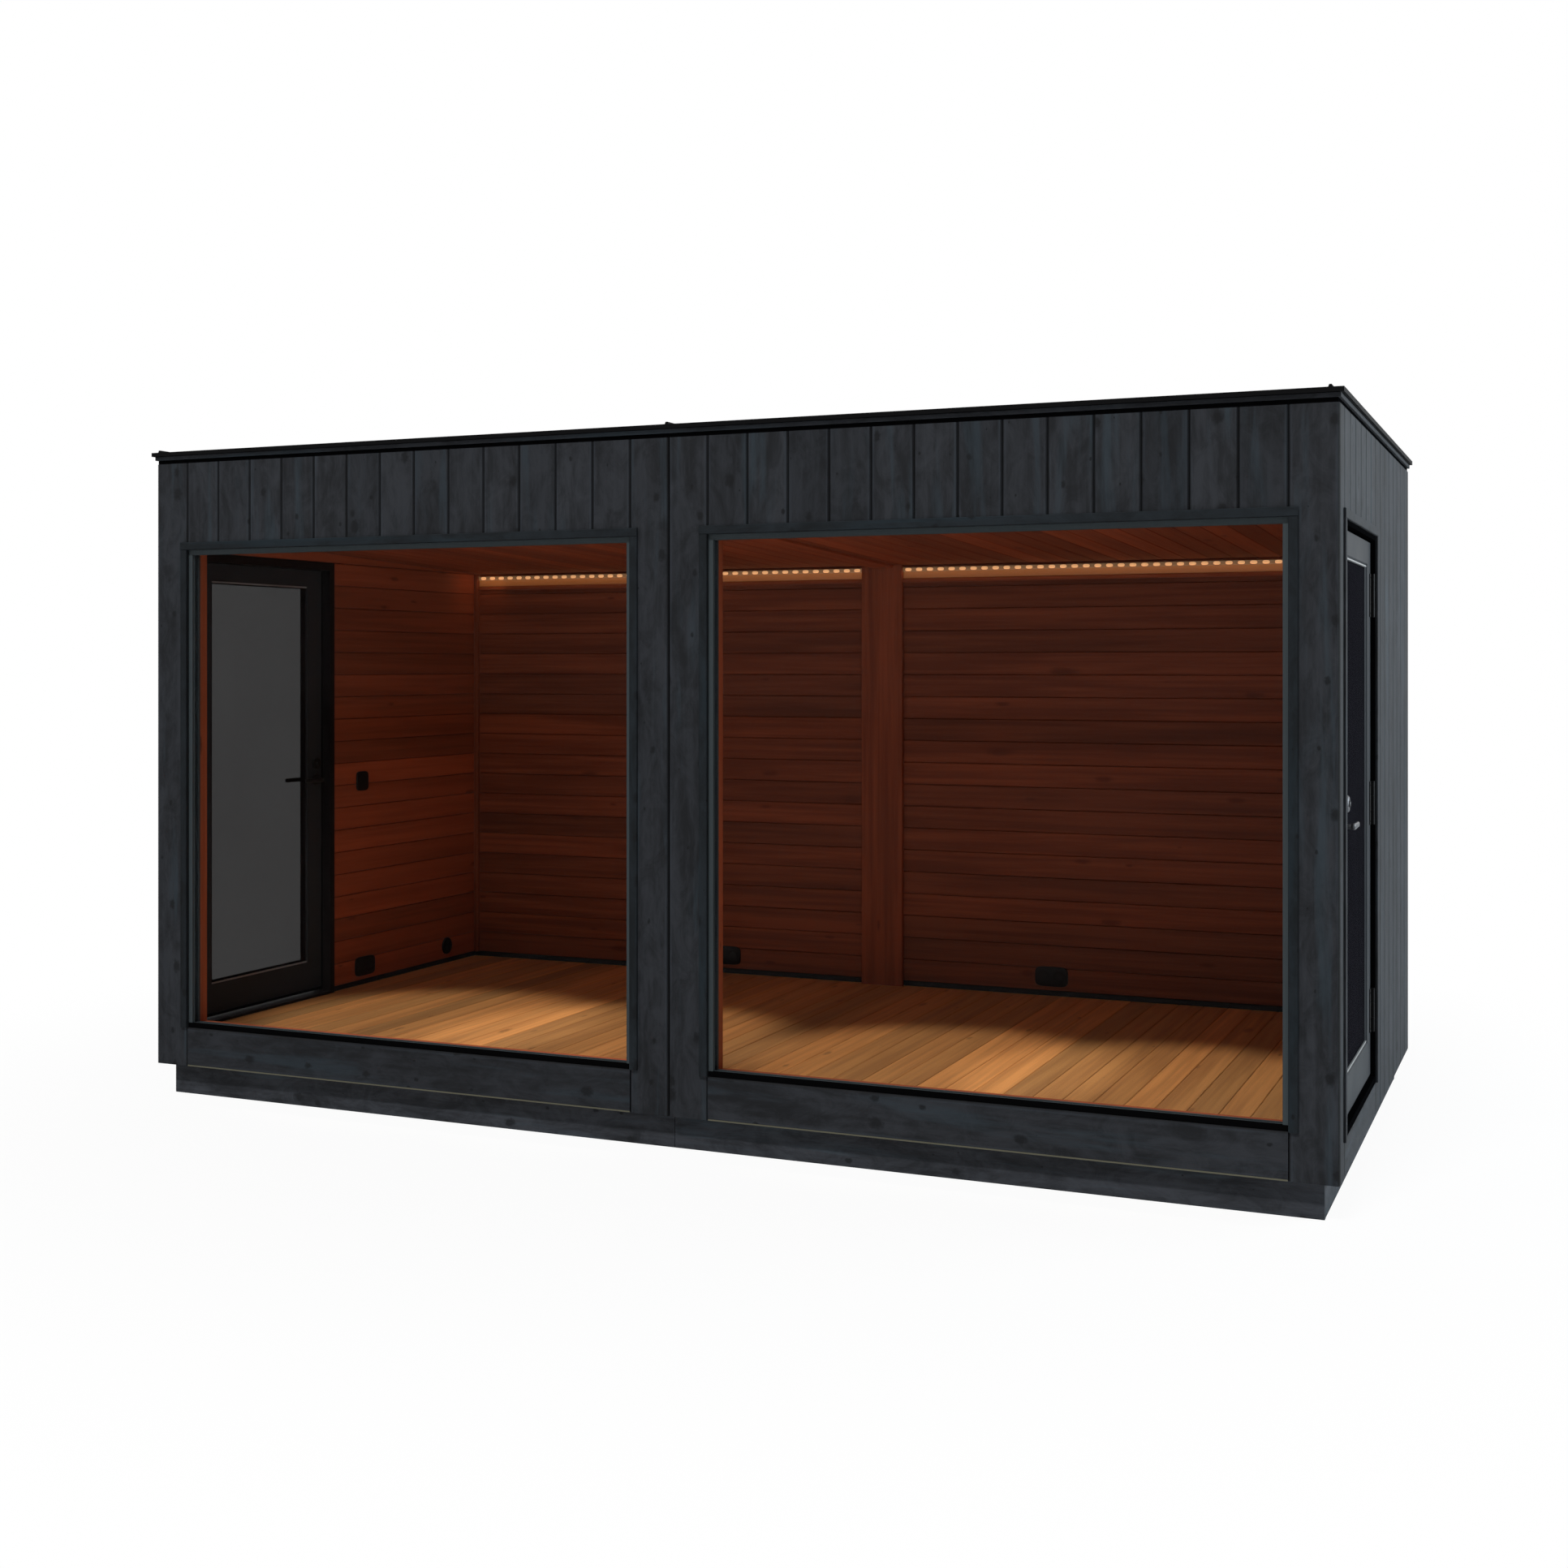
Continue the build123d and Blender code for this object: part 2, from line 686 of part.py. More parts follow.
# Lock furniture: bored rosettes for the lever on both faces, a deep bevelled collar over the
# lever outside and a flat rosette there inside, each round the lock cylinder
for side, name in ((-1, "left_door_lock"), (1, "right_door_lock")):
    with BuildPart() as lock:
        with BuildSketch(Plane.YZ.offset(leaf_outer)):
            with Locations((lever_y, lock_z)):
                Circle(collar_radius)
        extrude(amount=collar_depth)
        collar_rim = lock.faces().sort_by(Axis.X)[-1].edges()
        chamfer(collar_rim, collar_bevel)
        with BuildSketch(Plane.YZ.offset(leaf_inner)):
            with Locations((lever_y, lock_z)):
                Circle(rosette_radius)
        extrude(amount=-rosette_thickness)
        for plane_x, reach in ((leaf_outer, 1), (leaf_inner, -1)):
            with BuildSketch(Plane.YZ.offset(plane_x)):
                with Locations((lever_y, lever_z)):
                    Circle(rosette_radius)
                    Circle(neck_radius + neck_play, mode=Mode.SUBTRACT)
            extrude(amount=reach * rosette_thickness)
        for plane_x, reach in ((leaf_outer + collar_depth, 1), (leaf_inner - rosette_thickness, -1)):
            with BuildSketch(Plane.YZ.offset(plane_x)):
                with Locations((lever_y, lock_z)):
                    Circle(cylinder_radius)
            extrude(amount=reach * cylinder_projection)
        if side < 0:
            add(turned_to_left * lock.part, mode=Mode.REPLACE)
    finish(lock, name)

for side, name in ((-1, "left_door_lever"), (1, "right_door_lever")):
    with BuildPart() as lever:
        neck_span = leaf_thickness + 2 * neck_length
        leaf_mid_x = (leaf_outer + leaf_inner) / 2
        for reach in (-1, 1):
            with BuildSketch(Plane.YZ.offset(leaf_mid_x + reach * neck_span / 2)):
                with Locations((lever_y + grip_length / 2 - grip_height / 2, lever_z)):
                    SlotOverall(grip_length, grip_height)
            extrude(amount=-reach * grip_thickness)
        for grip_face in (lever.faces().sort_by(Axis.X)[0], lever.faces().sort_by(Axis.X)[-1]):
            chamfer(grip_face.edges(), grip_bevel)
        with BuildSketch(Plane.YZ.offset(leaf_mid_x)):
            with Locations((lever_y, lever_z)):
                Circle(neck_radius)
        extrude(amount=neck_span / 2 - grip_thickness, both=True)
        if side < 0:
            add(turned_to_left * lever.part, mode=Mode.REPLACE)
    finish(lever, name)

# Indoors: cover strips over the module joint, light strip, battens and wall plates
with BuildPart() as pilaster:
    with BuildSketch(Plane.XY.offset(floor_top)):
        with Locations((0, inner_back - pilaster_thickness / 2)):
            Rectangle(pilaster_width, pilaster_thickness)
    extrude(amount=ceiling_height(inner_back) - floor_top)
finish(pilaster, "pilaster")

with BuildPart() as ceiling_cover:
    with BuildSketch(Plane.YZ):
        cover_back = inner_back - pilaster_thickness
        with BuildLine():
            Polyline(
                (inner_front, ceiling_height(inner_front)),
                (cover_back, ceiling_height(cover_back)),
                (cover_back, ceiling_height(cover_back) - cover_thickness),
                (inner_front, ceiling_height(inner_front) - cover_thickness),
                close=True,
            )
        make_face()
    extrude(amount=cover_width / 2, both=True)
finish(ceiling_cover, "ceiling_cover")

strip_length = inner_end - pilaster_width / 2 - corner_batten
strip_centre = pilaster_width / 2 + strip_length / 2
led_top = ceiling_height(inner_back) - led_drop
with BuildPart() as light_strip:
    with BuildSketch(Plane.XY.offset(led_top - led_height)):
        for side in (-1, 1):
            with Locations((side * strip_centre, inner_back - led_depth / 2)):
                Rectangle(strip_length, led_depth)
    extrude(amount=led_height)
finish(light_strip, "light_strip")

with BuildPart() as light_batten:
    with BuildSketch(Plane.XY.offset(ceiling_height(inner_back) - batten_drop - batten_height)):
        for side in (-1, 1):
            with Locations((side * strip_centre, inner_back - batten_depth / 2)):
                Rectangle(strip_length, batten_depth)
    extrude(amount=batten_height)
finish(light_batten, "light_batten")

with BuildPart() as corner_battens:
    with BuildSketch(Plane.XY.offset(lining_foot)):
        for side in (-1, 1):
            with Locations((side * (inner_end - corner_batten / 2), inner_back - corner_batten / 2)):
                Rectangle(corner_batten, corner_batten)
    extrude(amount=ceiling_height(inner_back) - lining_foot)
finish(corner_battens, "corner_battens")

socket_z = floor_top + socket_centre_height
with BuildPart() as wall_plates:
    with BuildSketch(Plane.XZ.offset(-inner_back)):
        with Locations((-back_socket_offset, socket_z), (back_socket_offset, socket_z)):
            Rectangle(double_plate_width, plate_height)
    extrude(amount=plate_thickness)
    with BuildSketch(Plane.YZ.offset(-inner_end)):
        with Locations((door_back + socket_behind_door, socket_z)):
            Rectangle(double_plate_width, plate_height)
        with Locations((door_back + switch_behind_door, floor_top + switch_centre_height)):
            Rectangle(plate_height, plate_height)
        with Locations((inner_back - round_plate_from_back, socket_z)):
            Circle(round_plate_radius)
    extrude(amount=plate_thickness)
finish(wall_plates, "wall_plates")
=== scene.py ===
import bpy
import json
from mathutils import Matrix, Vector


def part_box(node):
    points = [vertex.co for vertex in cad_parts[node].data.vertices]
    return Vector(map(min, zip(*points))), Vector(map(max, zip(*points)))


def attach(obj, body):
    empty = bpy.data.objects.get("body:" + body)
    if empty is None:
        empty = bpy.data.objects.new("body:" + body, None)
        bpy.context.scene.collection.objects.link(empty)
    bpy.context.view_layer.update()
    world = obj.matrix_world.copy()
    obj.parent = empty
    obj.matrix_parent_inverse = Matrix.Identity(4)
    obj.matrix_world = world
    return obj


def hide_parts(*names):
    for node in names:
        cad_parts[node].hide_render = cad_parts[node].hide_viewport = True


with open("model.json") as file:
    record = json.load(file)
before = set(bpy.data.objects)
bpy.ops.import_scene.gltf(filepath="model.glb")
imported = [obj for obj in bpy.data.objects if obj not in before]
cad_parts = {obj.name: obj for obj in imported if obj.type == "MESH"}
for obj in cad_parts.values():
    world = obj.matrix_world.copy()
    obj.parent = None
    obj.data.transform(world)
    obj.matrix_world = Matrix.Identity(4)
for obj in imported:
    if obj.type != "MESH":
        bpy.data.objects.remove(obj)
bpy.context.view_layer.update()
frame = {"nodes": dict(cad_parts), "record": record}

import json
import math
import random

import bmesh
import bpy
from bpy.props import FloatProperty, FloatVectorProperty, IntProperty, PointerProperty
from mathutils import Vector

bl_info = {
    "name": "Sauna cabin",
    "version": (1, 0, 0),
    "blender": (4, 5, 0),
    "location": "3D View > Sidebar > Sauna cabin",
    "description": "Boards, linings, glazing, fittings and the stage of a flat-roofed sauna cabin",
    "category": "Object",
}

X = Vector((1, 0, 0))
Y = Vector((0, 1, 0))
Z = Vector((0, 0, 1))
FRONT = (X, Z, -Y)  # right, up and out of a face that looks to the front
TOP = (X, Y, Z)
SIDES = ((-1, "left"), (1, "right"))


def linear(red, green, blue):
    """A screen colour from 0 to 255 as the linear colour that Blender stores."""
    return tuple(c / 12.92 / 255 if c <= 10 else ((c / 255 + 0.055) / 1.055) ** 2.4 for c in (red, green, blue))


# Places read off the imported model, in metres


def low(node):
    """Lowest corner of a CAD node."""
    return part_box(node)[0]


def high(node):
    """Highest corner of a CAD node."""
    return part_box(node)[1]


WALL_LEFT, WALL_FRONT, WALL_FOOT = low("front_cladding")
WALL_RIGHT, WALL_TOP = high("front_cladding").x, high("front_cladding").z
WALL_BACK = high("back_cladding").y
CLADDING = high("front_cladding").y - WALL_FRONT
WINDOW_FOOT, WINDOW_HEAD = low("window_frames").z, high("window_frames").z
WINDOW_END = high("window_frames").x
BOARD = WALL_RIGHT - WINDOW_END
DOOR_FRONT, DOOR_BACK = low("right_door_frame").y, high("right_door_frame").y
DOOR_FOOT, DOOR_HEAD = low("right_door_frame").z, high("right_door_frame").z
ROOM_END = low("right_lining").x
ROOM_FRONT, ROOM_BACK = low("right_lining").y, high("right_lining").y
LINING = high("right_lining").x - ROOM_END
LINING_FOOT = low("right_lining").z
CEILING_FRONT, CEILING_BACK = high("right_lining").z, high("pilaster").z
FLOOR_TOP, FLOOR_UNDER = high("floor_boards").z, low("floor_boards").z
HALF_GAP = 0.001  # half of the gap between the two modules
SEAM = 0.0012  # gap between two boards
LEAF_OUTER, LEAF_INNER = high("right_door_leaf").x, low("right_door_leaf").x
SPINDLE = 0.01  # from the lever's end to its spindle
LOCK_RADIUS = 0.027
LEVER_Y = low("right_door_lever").y + SPINDLE
LEVER_Z = (low("right_door_lever").z + high("right_door_lever").z) / 2
LOCK_Z = high("right_door_lock").z - LOCK_RADIUS


# Settings that a user would change


class CabinSizes(bpy.types.PropertyGroup):
    """Sizes of the boards and small pieces that dress the cabin."""

    outside_groove: FloatProperty(
        name="Outside groove", description="Width of the bevel along each outside board", default=0.005, unit="LENGTH"
    )
    inside_groove: FloatProperty(
        name="Inside groove", description="Width of the bevel along each cedar board", default=0.0025, unit="LENGTH"
    )
    lining_rows: IntProperty(
        name="Lining rows", description="Rows of cedar from the lining's foot to the door head", default=19
    )
    floor_rows: IntProperty(name="Floor boards", description="Boards across one module", default=21)
    ceiling_rows: IntProperty(name="Ceiling boards", description="Boards across one module", default=22)
    screw_pitch: FloatProperty(
        name="Screw spacing", description="Distance between two screws of the roof caps", default=0.3, unit="LENGTH"
    )
    light_pitch: FloatProperty(
        name="Light spacing", description="Distance between two lights of the strip", default=0.05, unit="LENGTH"
    )


class CabinFinishes(bpy.types.PropertyGroup):
    """Colours of the cabin's finishes, as seen under plain light."""

    stained: FloatVectorProperty(
        name="Stained timber",
        description="Charcoal stain on the outside boards",
        default=linear(40, 42, 46),
        subtype="COLOR",
    )
    cedar: FloatVectorProperty(
        name="Cedar", description="Wall and ceiling boards", default=linear(158, 80, 49), subtype="COLOR"
    )
    floor: FloatVectorProperty(
        name="Floor boards", description="Oiled floor boards", default=linear(240, 166, 98), subtype="COLOR"
    )
    joinery: FloatVectorProperty(
        name="Joinery",
        description="Painted casings, door frames and leaves",
        default=linear(42, 45, 49),
        subtype="COLOR",
    )
    light: FloatVectorProperty(
        name="Light strip", description="Colour of the warm lights", default=linear(255, 192, 134), subtype="COLOR"
    )


class StageSettings(bpy.types.PropertyGroup):
    """Camera and light round the cabin."""

    lens: FloatProperty(name="Lens", description="Focal length on a 36 mm sensor", default=43.41)
    shift: FloatProperty(name="Shift", description="Vertical shift of the view", default=-0.0752)
    turn: FloatProperty(
        name="Turn", description="Heading of the level camera", default=0.4057, subtype="ANGLE", unit="ROTATION"
    )
    place: FloatVectorProperty(
        name="Place",
        description="Where the camera stands",
        default=(2.9567, -6.9924, 1.682),
        subtype="XYZ",
        unit="LENGTH",
    )
    key_height: FloatProperty(
        name="Key height",
        description="Key light above the horizon",
        default=math.radians(53.5),
        subtype="ANGLE",
        unit="ROTATION",
    )
    key_turn: FloatProperty(
        name="Key turn",
        description="Key light left of straight ahead",
        default=math.radians(2),
        subtype="ANGLE",
        unit="ROTATION",
    )
    key: FloatProperty(name="Key light", description="Power of the distant light in front", default=5700.0)
    side: FloatProperty(name="Side light", description="Power of the light on the right end", default=480.0)
    strip: FloatProperty(name="Strip light", description="Power of the light under each light strip", default=0.18)
    downlight: FloatProperty(name="Downlights", description="Power of each of four lights over the floor", default=51.0)
    room: FloatProperty(name="Room light", description="Power of the dim warm light in the room", default=0.7)
    glow: FloatProperty(name="Floor glow", description="Power of the dim light thrown up off the floor", default=2.6)
    fill: FloatProperty(name="Fill light", description="Strength of the even light", default=0.17)


# Shader expressions


class Wire:
    """One output of a shader node, usable in Python arithmetic."""

    def __init__(self, paint, socket):
        self.paint = paint
        self.socket = socket

    def math(self, operation, first, second):
        return self.paint.node("ShaderNodeMath", {"operation": operation}, {0: first, 1: second})

    def __add__(self, other):
        return self.math("ADD", self, other)

    def __sub__(self, other):
        return self.math("SUBTRACT", self, other)

    def __rsub__(self, other):
        return self.math("SUBTRACT", other, self)

    def __mul__(self, other):
        return self.math("MULTIPLY", self, other)

    def __truediv__(self, other):
        return self.math("DIVIDE", self, other)

    __radd__ = __add__
    __rmul__ = __mul__


class Nodes:
    """Builds the nodes of one tree."""

    def __init__(self, tree):
        self.tree = tree

    def node(self, kind, settings, inputs, output=0):
        """Add a node: its settings first, then the values or links of its sockets."""
        made = self.tree.nodes.new(kind)
        for key, value in settings.items():
            setattr(made, key, value)
        for key, value in inputs.items():
            self.feed(made.inputs[key], value)
        return Wire(self, made.outputs[output])

    def feed(self, socket, value):
        """Link a wire to a socket or set the socket's own value."""
        if isinstance(value, Wire):
            self.tree.links.new(value.socket, socket)
        elif isinstance(value, (tuple, Vector)):
            socket.default_value = (tuple(value) + (1.0,))[:len(socket.default_value)]
        else:
            socket.default_value = value


class Paint(Nodes):
    """A material with one Principled shader and the means to build its nodes."""

    def __init__(self, name):
        self.material = bpy.data.materials.new(name)
        self.material.use_nodes = True
        super().__init__(self.material.node_tree)
        self.shader = self.tree.nodes["Principled BSDF"]

    def set(self, **values):
        """Give the shader's own sockets their values or links."""
        for key, value in values.items():
            self.feed(self.shader.inputs[key.replace("_", " ").title().replace("Ior", "IOR")], value)

    def blend(self, factor, first, second):
        """Mix two colours."""
        return self.node("ShaderNodeMix", {"data_type": "RGBA"}, {0: factor, 6: first, 7: second}, 2)

    def varied(self, factor, colour, low, high):
        """A colour between two of its own shades."""
        return self.blend(factor, shade(colour, low), shade(colour, high))

    def scaled(self, vector, factors):
        return self.node("ShaderNodeVectorMath", {"operation": "MULTIPLY"}, {0: vector, 1: factors})

    def noise(self, vector, scale, detail, roughness=0.5, distortion=0.0):
        """Noise with one scale for all directions or one for each."""
        if isinstance(scale, tuple):
            vector, scale = self.scaled(vector, scale), 1.0
        sockets = {"Vector": vector, "Scale": scale, "Detail": detail, "Roughness": roughness, "Distortion": distortion}
        return self.node("ShaderNodeTexNoise", {}, sockets)

    def span(self, value, start, end):
        """0 below start, 1 above end and smooth between them."""
        sockets = {"Value": value, "From Min": start, "From Max": end}
        return self.node("ShaderNodeMapRange", {"interpolation_type": "SMOOTHSTEP"}, sockets)

    def place(self):
        """The point on the object, in metres."""
        return self.node("ShaderNodeTexCoord", {}, {}, "Object")

    def attribute(self, name, output="Fac"):
        """A value that the boards carry at their corners."""
        return self.node("ShaderNodeAttribute", {"attribute_name": name}, {}, output)

    def bump(self, height, distance, strength):
        return self.node("ShaderNodeBump", {}, {"Height": height, "Distance": distance, "Strength": strength})


def shade(colour, factor):
    """A colour made lighter or darker."""
    return tinted(colour, (factor, factor, factor))


def tinted(colour, factors):
    """A colour with each channel made lighter or darker."""
    return tuple(min(1.0, c * f) for c, f in zip(colour, factors))


def knots(paint, grain, along, across, size):
    """A mask of scattered ragged knots of different sizes, 1 at the middle of each."""
    cells = paint.scaled(grain, (along, across, across))
    settings = {"feature": "F1", "voronoi_dimensions": "2D"}
    distance = paint.node("ShaderNodeTexVoronoi", settings, {"Vector": cells, "Scale": 1.0}, "Distance")
    chance = Wire(paint, distance.socket.node.outputs["Color"])
    ragged = distance / (chance * chance) + paint.noise(grain, 80.0, 4.0, 0.55) * size
    return 1 - paint.span(ragged, size * 0.85, size * 1.5)


def stained_timber(paint, colour):
    """Rough-sawn boards under a charcoal stain: clouds, pale streaks, dark joints with a painted highlight beside them,
    and knots.
    """
    grain = paint.attribute("grain", "Vector")
    rim = paint.attribute("rim")
    rim = rim.math("ABSOLUTE", rim, 0.0)
    edge = paint.attribute("edge")
    cloud = paint.noise(grain, (2.6, 9.0, 9.0), 4.0, 0.6, 0.9)
    streak = paint.noise(grain, (2.0, 34.0, 34.0), 6.0, 0.65, 0.5)
    pale = paint.noise(grain, (1.3, 15.0, 15.0), 5.0, 0.6, 0.3)
    fibre = paint.noise(grain, (14.0, 420.0, 420.0), 3.0, 0.6)
    blotch = paint.noise(grain, (7.0, 13.0, 13.0), 5.0, 0.7, 1.2)
    dots = knots(paint, grain, 5.5, 8.0, 0.25)
    mixed = cloud * 0.35 + streak * 0.25 + blotch * 0.4
    body = paint.varied(paint.span(mixed, 0.38, 0.62), colour, 0.5, 1.45)
    washed = paint.blend(paint.span(pale, 0.52, 0.7) * 0.6, body, tinted(colour, (1.55, 2.0, 2.1)))
    # Lighter band beside each seam, broken up by the streaks: painted highlight of light caught at the boards' edges.
    beside = paint.span(rim, 0.8, 0.9) * paint.span(streak, 0.42, 0.6)
    seam_highlighted = paint.blend(beside * 0.4, washed, tinted(colour, (2.0, 2.2, 2.3)))
    toned = paint.blend(paint.attribute("tone") * 0.8, seam_highlighted, paint.scaled(seam_highlighted, (0.58, 0.6, 0.62)))
    knotted = paint.blend(dots * 0.8, toned, shade(colour, 0.22))
    seam = paint.span(rim + streak * 0.06, 0.92, 1.0)
    jointed = paint.blend(edge.math("MAXIMUM", edge * 0.9, seam * 0.7), knotted, shade(colour, 0.1))
    relief = paint.bump(streak * 0.5 + fibre * 0.5 - dots * 0.2, 0.0011, 0.6)
    paint.set(base_color=jointed, roughness=0.62 + streak * 0.2, normal=relief, specular_ior_level=0.15)


def cedar_timber(paint, colour, contrast, rough, gloss=0.2):
    """Planed cedar: long soft figure, boards of different depth, small knots and dark joints."""
    grain = paint.attribute("grain", "Vector")
    broad = paint.noise(grain, (0.7, 14.0, 14.0), 3.0, 0.5, 0.4)
    streak = paint.noise(grain, (1.6, 55.0, 55.0), 4.0, 0.55, 0.2)
    fibre = paint.noise(grain, (6.0, 300.0, 300.0), 4.0, 0.6)
    dots = knots(paint, grain, 1.5, 5.0, 0.16)
    body = paint.varied(paint.span(broad * 0.55 + streak * 0.45, 0.34, 0.66), colour, 1 - contrast, 1 + contrast)
    toned = paint.blend(paint.attribute("tone"), body, paint.scaled(body, (0.55, 0.62, 0.68)))
    knotted = paint.blend(dots * 0.6, toned, shade(colour, 0.3))
    jointed = paint.blend(paint.attribute("edge") * 0.6, knotted, shade(colour, 0.18))
    relief = paint.bump(fibre * 0.7 + streak * 0.3, 0.0003, 0.4)
    paint.set(base_color=jointed, roughness=rough + fibre * 0.15, normal=relief, specular_ior_level=gloss)


def framing_timber(paint, colour):
    """Sawn softwood of the frame and panels."""
    fibre = paint.noise(paint.place(), (60.0, 60.0, 4.0), 5.0, 0.6)
    body = paint.varied(fibre, colour, 0.75, 1.15)
    paint.set(base_color=body, roughness=0.8, normal=paint.bump(fibre, 0.0006, 0.5))


def painted_joinery(paint, colour, rough, gloss=0.1):
    """Brushed paint on timber: faint brush lines and slight wear."""
    place = paint.place()
    brush = paint.noise(place, (90.0, 90.0, 6.0), 4.0, 0.55)
    cloud = paint.noise(place, 5.0, 3.0)
    body = paint.varied(brush * 0.5 + cloud * 0.5, colour, 0.82, 1.2)
    relief = paint.bump(brush, 0.0003, 0.4)
    paint.set(base_color=body, roughness=rough + cloud * 0.12, normal=relief, specular_ior_level=gloss)


def coated_metal(paint, colour, metallic, gloss=0.5, rough=0.5):
    """Powder-coated or brushed sheet: fine orange peel and a little variation."""
    place = paint.place()
    relief = paint.bump(paint.noise(place, 420.0, 2.0), 0.0001, 0.3)
    cloud = paint.noise(place, 3.0, 4.0, 0.6)
    paint.set(base_color=paint.varied(cloud, colour, 0.85, 1.15), metallic=metallic, specular_ior_level=gloss)
    paint.set(roughness=rough + cloud * 0.15, normal=relief)


def brushed_metal(paint, colour):
    """Brushed stainless steel."""
    lines = paint.noise(paint.place(), (900.0, 30.0, 900.0), 3.0, 0.6)
    paint.set(base_color=paint.varied(lines, colour, 0.8, 1.1), metallic=1.0, roughness=0.32 + lines * 0.16)
    paint.set(normal=paint.bump(lines, 0.0001, 0.3))


def membrane(paint, colour):
    """Mineral roofing sheet: fine granules, weather marks and soft stains."""
    place = paint.place()
    granule = paint.noise(place, 700.0, 2.0, 0.7)
    stain = paint.noise(paint.scaled(place, (1.0, 0.7, 1.0)), 1.6, 5.0, 0.6, 0.5)
    body = paint.varied(stain * 0.7 + granule * 0.3, colour, 0.7, 1.35)
    paint.set(base_color=body, roughness=0.9, normal=paint.bump(granule, 0.0006, 0.6))


def moulded_plastic(paint, colour, gloss):
    """Satin moulded plastic with a fine grain."""
    place = paint.place()
    relief = paint.bump(paint.noise(place, 900.0, 2.0), 0.00005, 0.3)
    cloud = paint.noise(place, 25.0, 2.0)
    paint.set(base_color=paint.varied(cloud, colour, 0.9, 1.15), specular_ior_level=gloss)
    paint.set(roughness=0.38 + cloud * 0.1, normal=relief)


def pane_glass(paint, colour, clear, cover, gloss):
    """Flat glass seen through by its alpha, with a faint haze."""
    haze = paint.noise(paint.place(), 1.2, 3.0)
    paint.set(base_color=paint.varied(haze, colour, 0.8, 1.2), alpha=clear + haze * cover)
    paint.set(roughness=0.02 + haze * 0.02, specular_ior_level=gloss)


def glowing(paint, colour, strength):
    """Warm light behind a frosted lens."""
    frost = paint.noise(paint.place(), 120.0, 2.0)
    body = paint.varied(frost, colour, 0.75, 1.0)
    paint.set(base_color=body, roughness=0.35 + frost * 0.1, emission_color=body, emission_strength=strength)


def finish(name):
    """The material of that name, made when first asked for."""
    made = bpy.data.materials.get(name)
    if made:
        return made
    colours = bpy.context.scene.cabin_finishes
    makers = {
        "stained_timber": (stained_timber, colours.stained),
        # The plinth's copy of the stained timber, 1.8 times lighter: painted light against the overhang's shadow on the
        # plinth.
        "painted_light_plinth_timber": (stained_timber, shade(colours.stained, 1.8)),
        "casing_timber": (stained_timber, linear(25, 30, 34)),
        "cedar": (cedar_timber, colours.cedar, 0.2, 0.5),
        # A darker copy of the wall cedar for the back lining and the pilaster: painted shade on the back wall.
        "painted_shade_cedar": (cedar_timber, shade(colours.cedar, 0.73), 0.3, 0.5),
        "floor_timber": (cedar_timber, colours.floor, 0.22, 0.42, 0.5),
        "frame_timber": (framing_timber, linear(150, 118, 84)),
        # Near-black for the wall cores seen in the shadow gap at the linings' foot: painted shade.
        "painted_gap_shade": (membrane, linear(14, 10, 9)),
        "roof_membrane": (membrane, linear(58, 60, 62)),
        "roof_trim": (coated_metal, linear(9, 9, 10), 0.0, 0.05),
        "drip_metal": (coated_metal, linear(84, 82, 66), 0.0),
        "hinge_metal": (coated_metal, linear(6, 6, 7), 0.0, 0.1),
        "black_fittings": (coated_metal, linear(17, 16, 17), 0.0, 0.2),
        # Light grey bead metal, used only along the top and bottom of the door lights: the bead's own colour and a
        # painted highlight where it catches the light.
        "bead_with_painted_highlight": (coated_metal, linear(134, 134, 134), 0.2, 0.5, 0.4),
        "lock_metal": (brushed_metal, linear(82, 83, 86)),
        "dark_frame": (painted_joinery, colours.joinery, 0.45, 0.07),
        "black_joinery": (painted_joinery, linear(20, 16, 16), 0.5),
        # A near-black copy of the door frames' joinery for the right door frame: painted shade on its jambs.
        "painted_shade_joinery": (painted_joinery, linear(8, 8, 9), 0.5, 0.0),
        "grey_frame": (painted_joinery, linear(60, 67, 70), 0.4),
        "clear_glass": (pane_glass, linear(10, 11, 12), 0.01, 0.02, 0.5),
        "tinted_glass": (pane_glass, linear(27, 26, 30), 0.785, 0.04, 0.0),
        "black_plastic": (moulded_plastic, linear(24, 22, 22), 0.1),
        # Black rubber for the seals, also standing in as painted shade for key holes, pin holes and the gap under the
        # roof's fascia.
        "black_rubber_and_shade": (moulded_plastic, linear(8, 8, 9), 0.0),
        "warm_light": (glowing, colours.light, 0.62),
        # The channel's glow and the band under it are painted light from the strip, not lamps.
        "lit_channel": (glowing, shade(colours.light, 0.2), 0.6),
        "painted_wall_glow": (glowing, linear(126, 78, 40), 0.45),
    }
    paint = Paint(name)
    maker, *details = makers[name]
    maker(paint, *details)
    return paint.material


# Mesh makers


def placed(name, data, place=(0, 0, 0)):
    """A new object in the scene."""
    made = bpy.data.objects.new(name, data)
    made.location = place
    bpy.context.scene.collection.objects.link(made)
    return made


def wrap_up(name, mesh, body, slot, replaced, look):
    """Link a finished mesh as a piece of the cabin, in its slot's finish or in a look of its own."""
    piece = placed(name, mesh)
    mesh.materials.append(finish(look or slot))
    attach(piece, body)
    if replaced:
        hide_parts(*replaced)


def v_jointed(width, thickness, groove):
    """Section of a board with a bevel along both face edges, from its back left corner round."""
    half = SEAM / 2
    shoulder = thickness * 0.45
    bevel = thickness - groove
    left = [(half + groove, thickness), (half, bevel), (half, shoulder), (0, shoulder)]
    right = [(width, shoulder), (width - half, shoulder), (width - half, bevel), (width - half - groove, thickness)]
    return [(0, 0), (width, 0)] + right + left


def eased(width, thickness, ease):
    """Section of a batten with both face edges eased."""
    low_edge = thickness - ease
    return [(0, 0), (width, 0), (width, low_edge), (width - ease, thickness), (ease, thickness), (0, low_edge)]


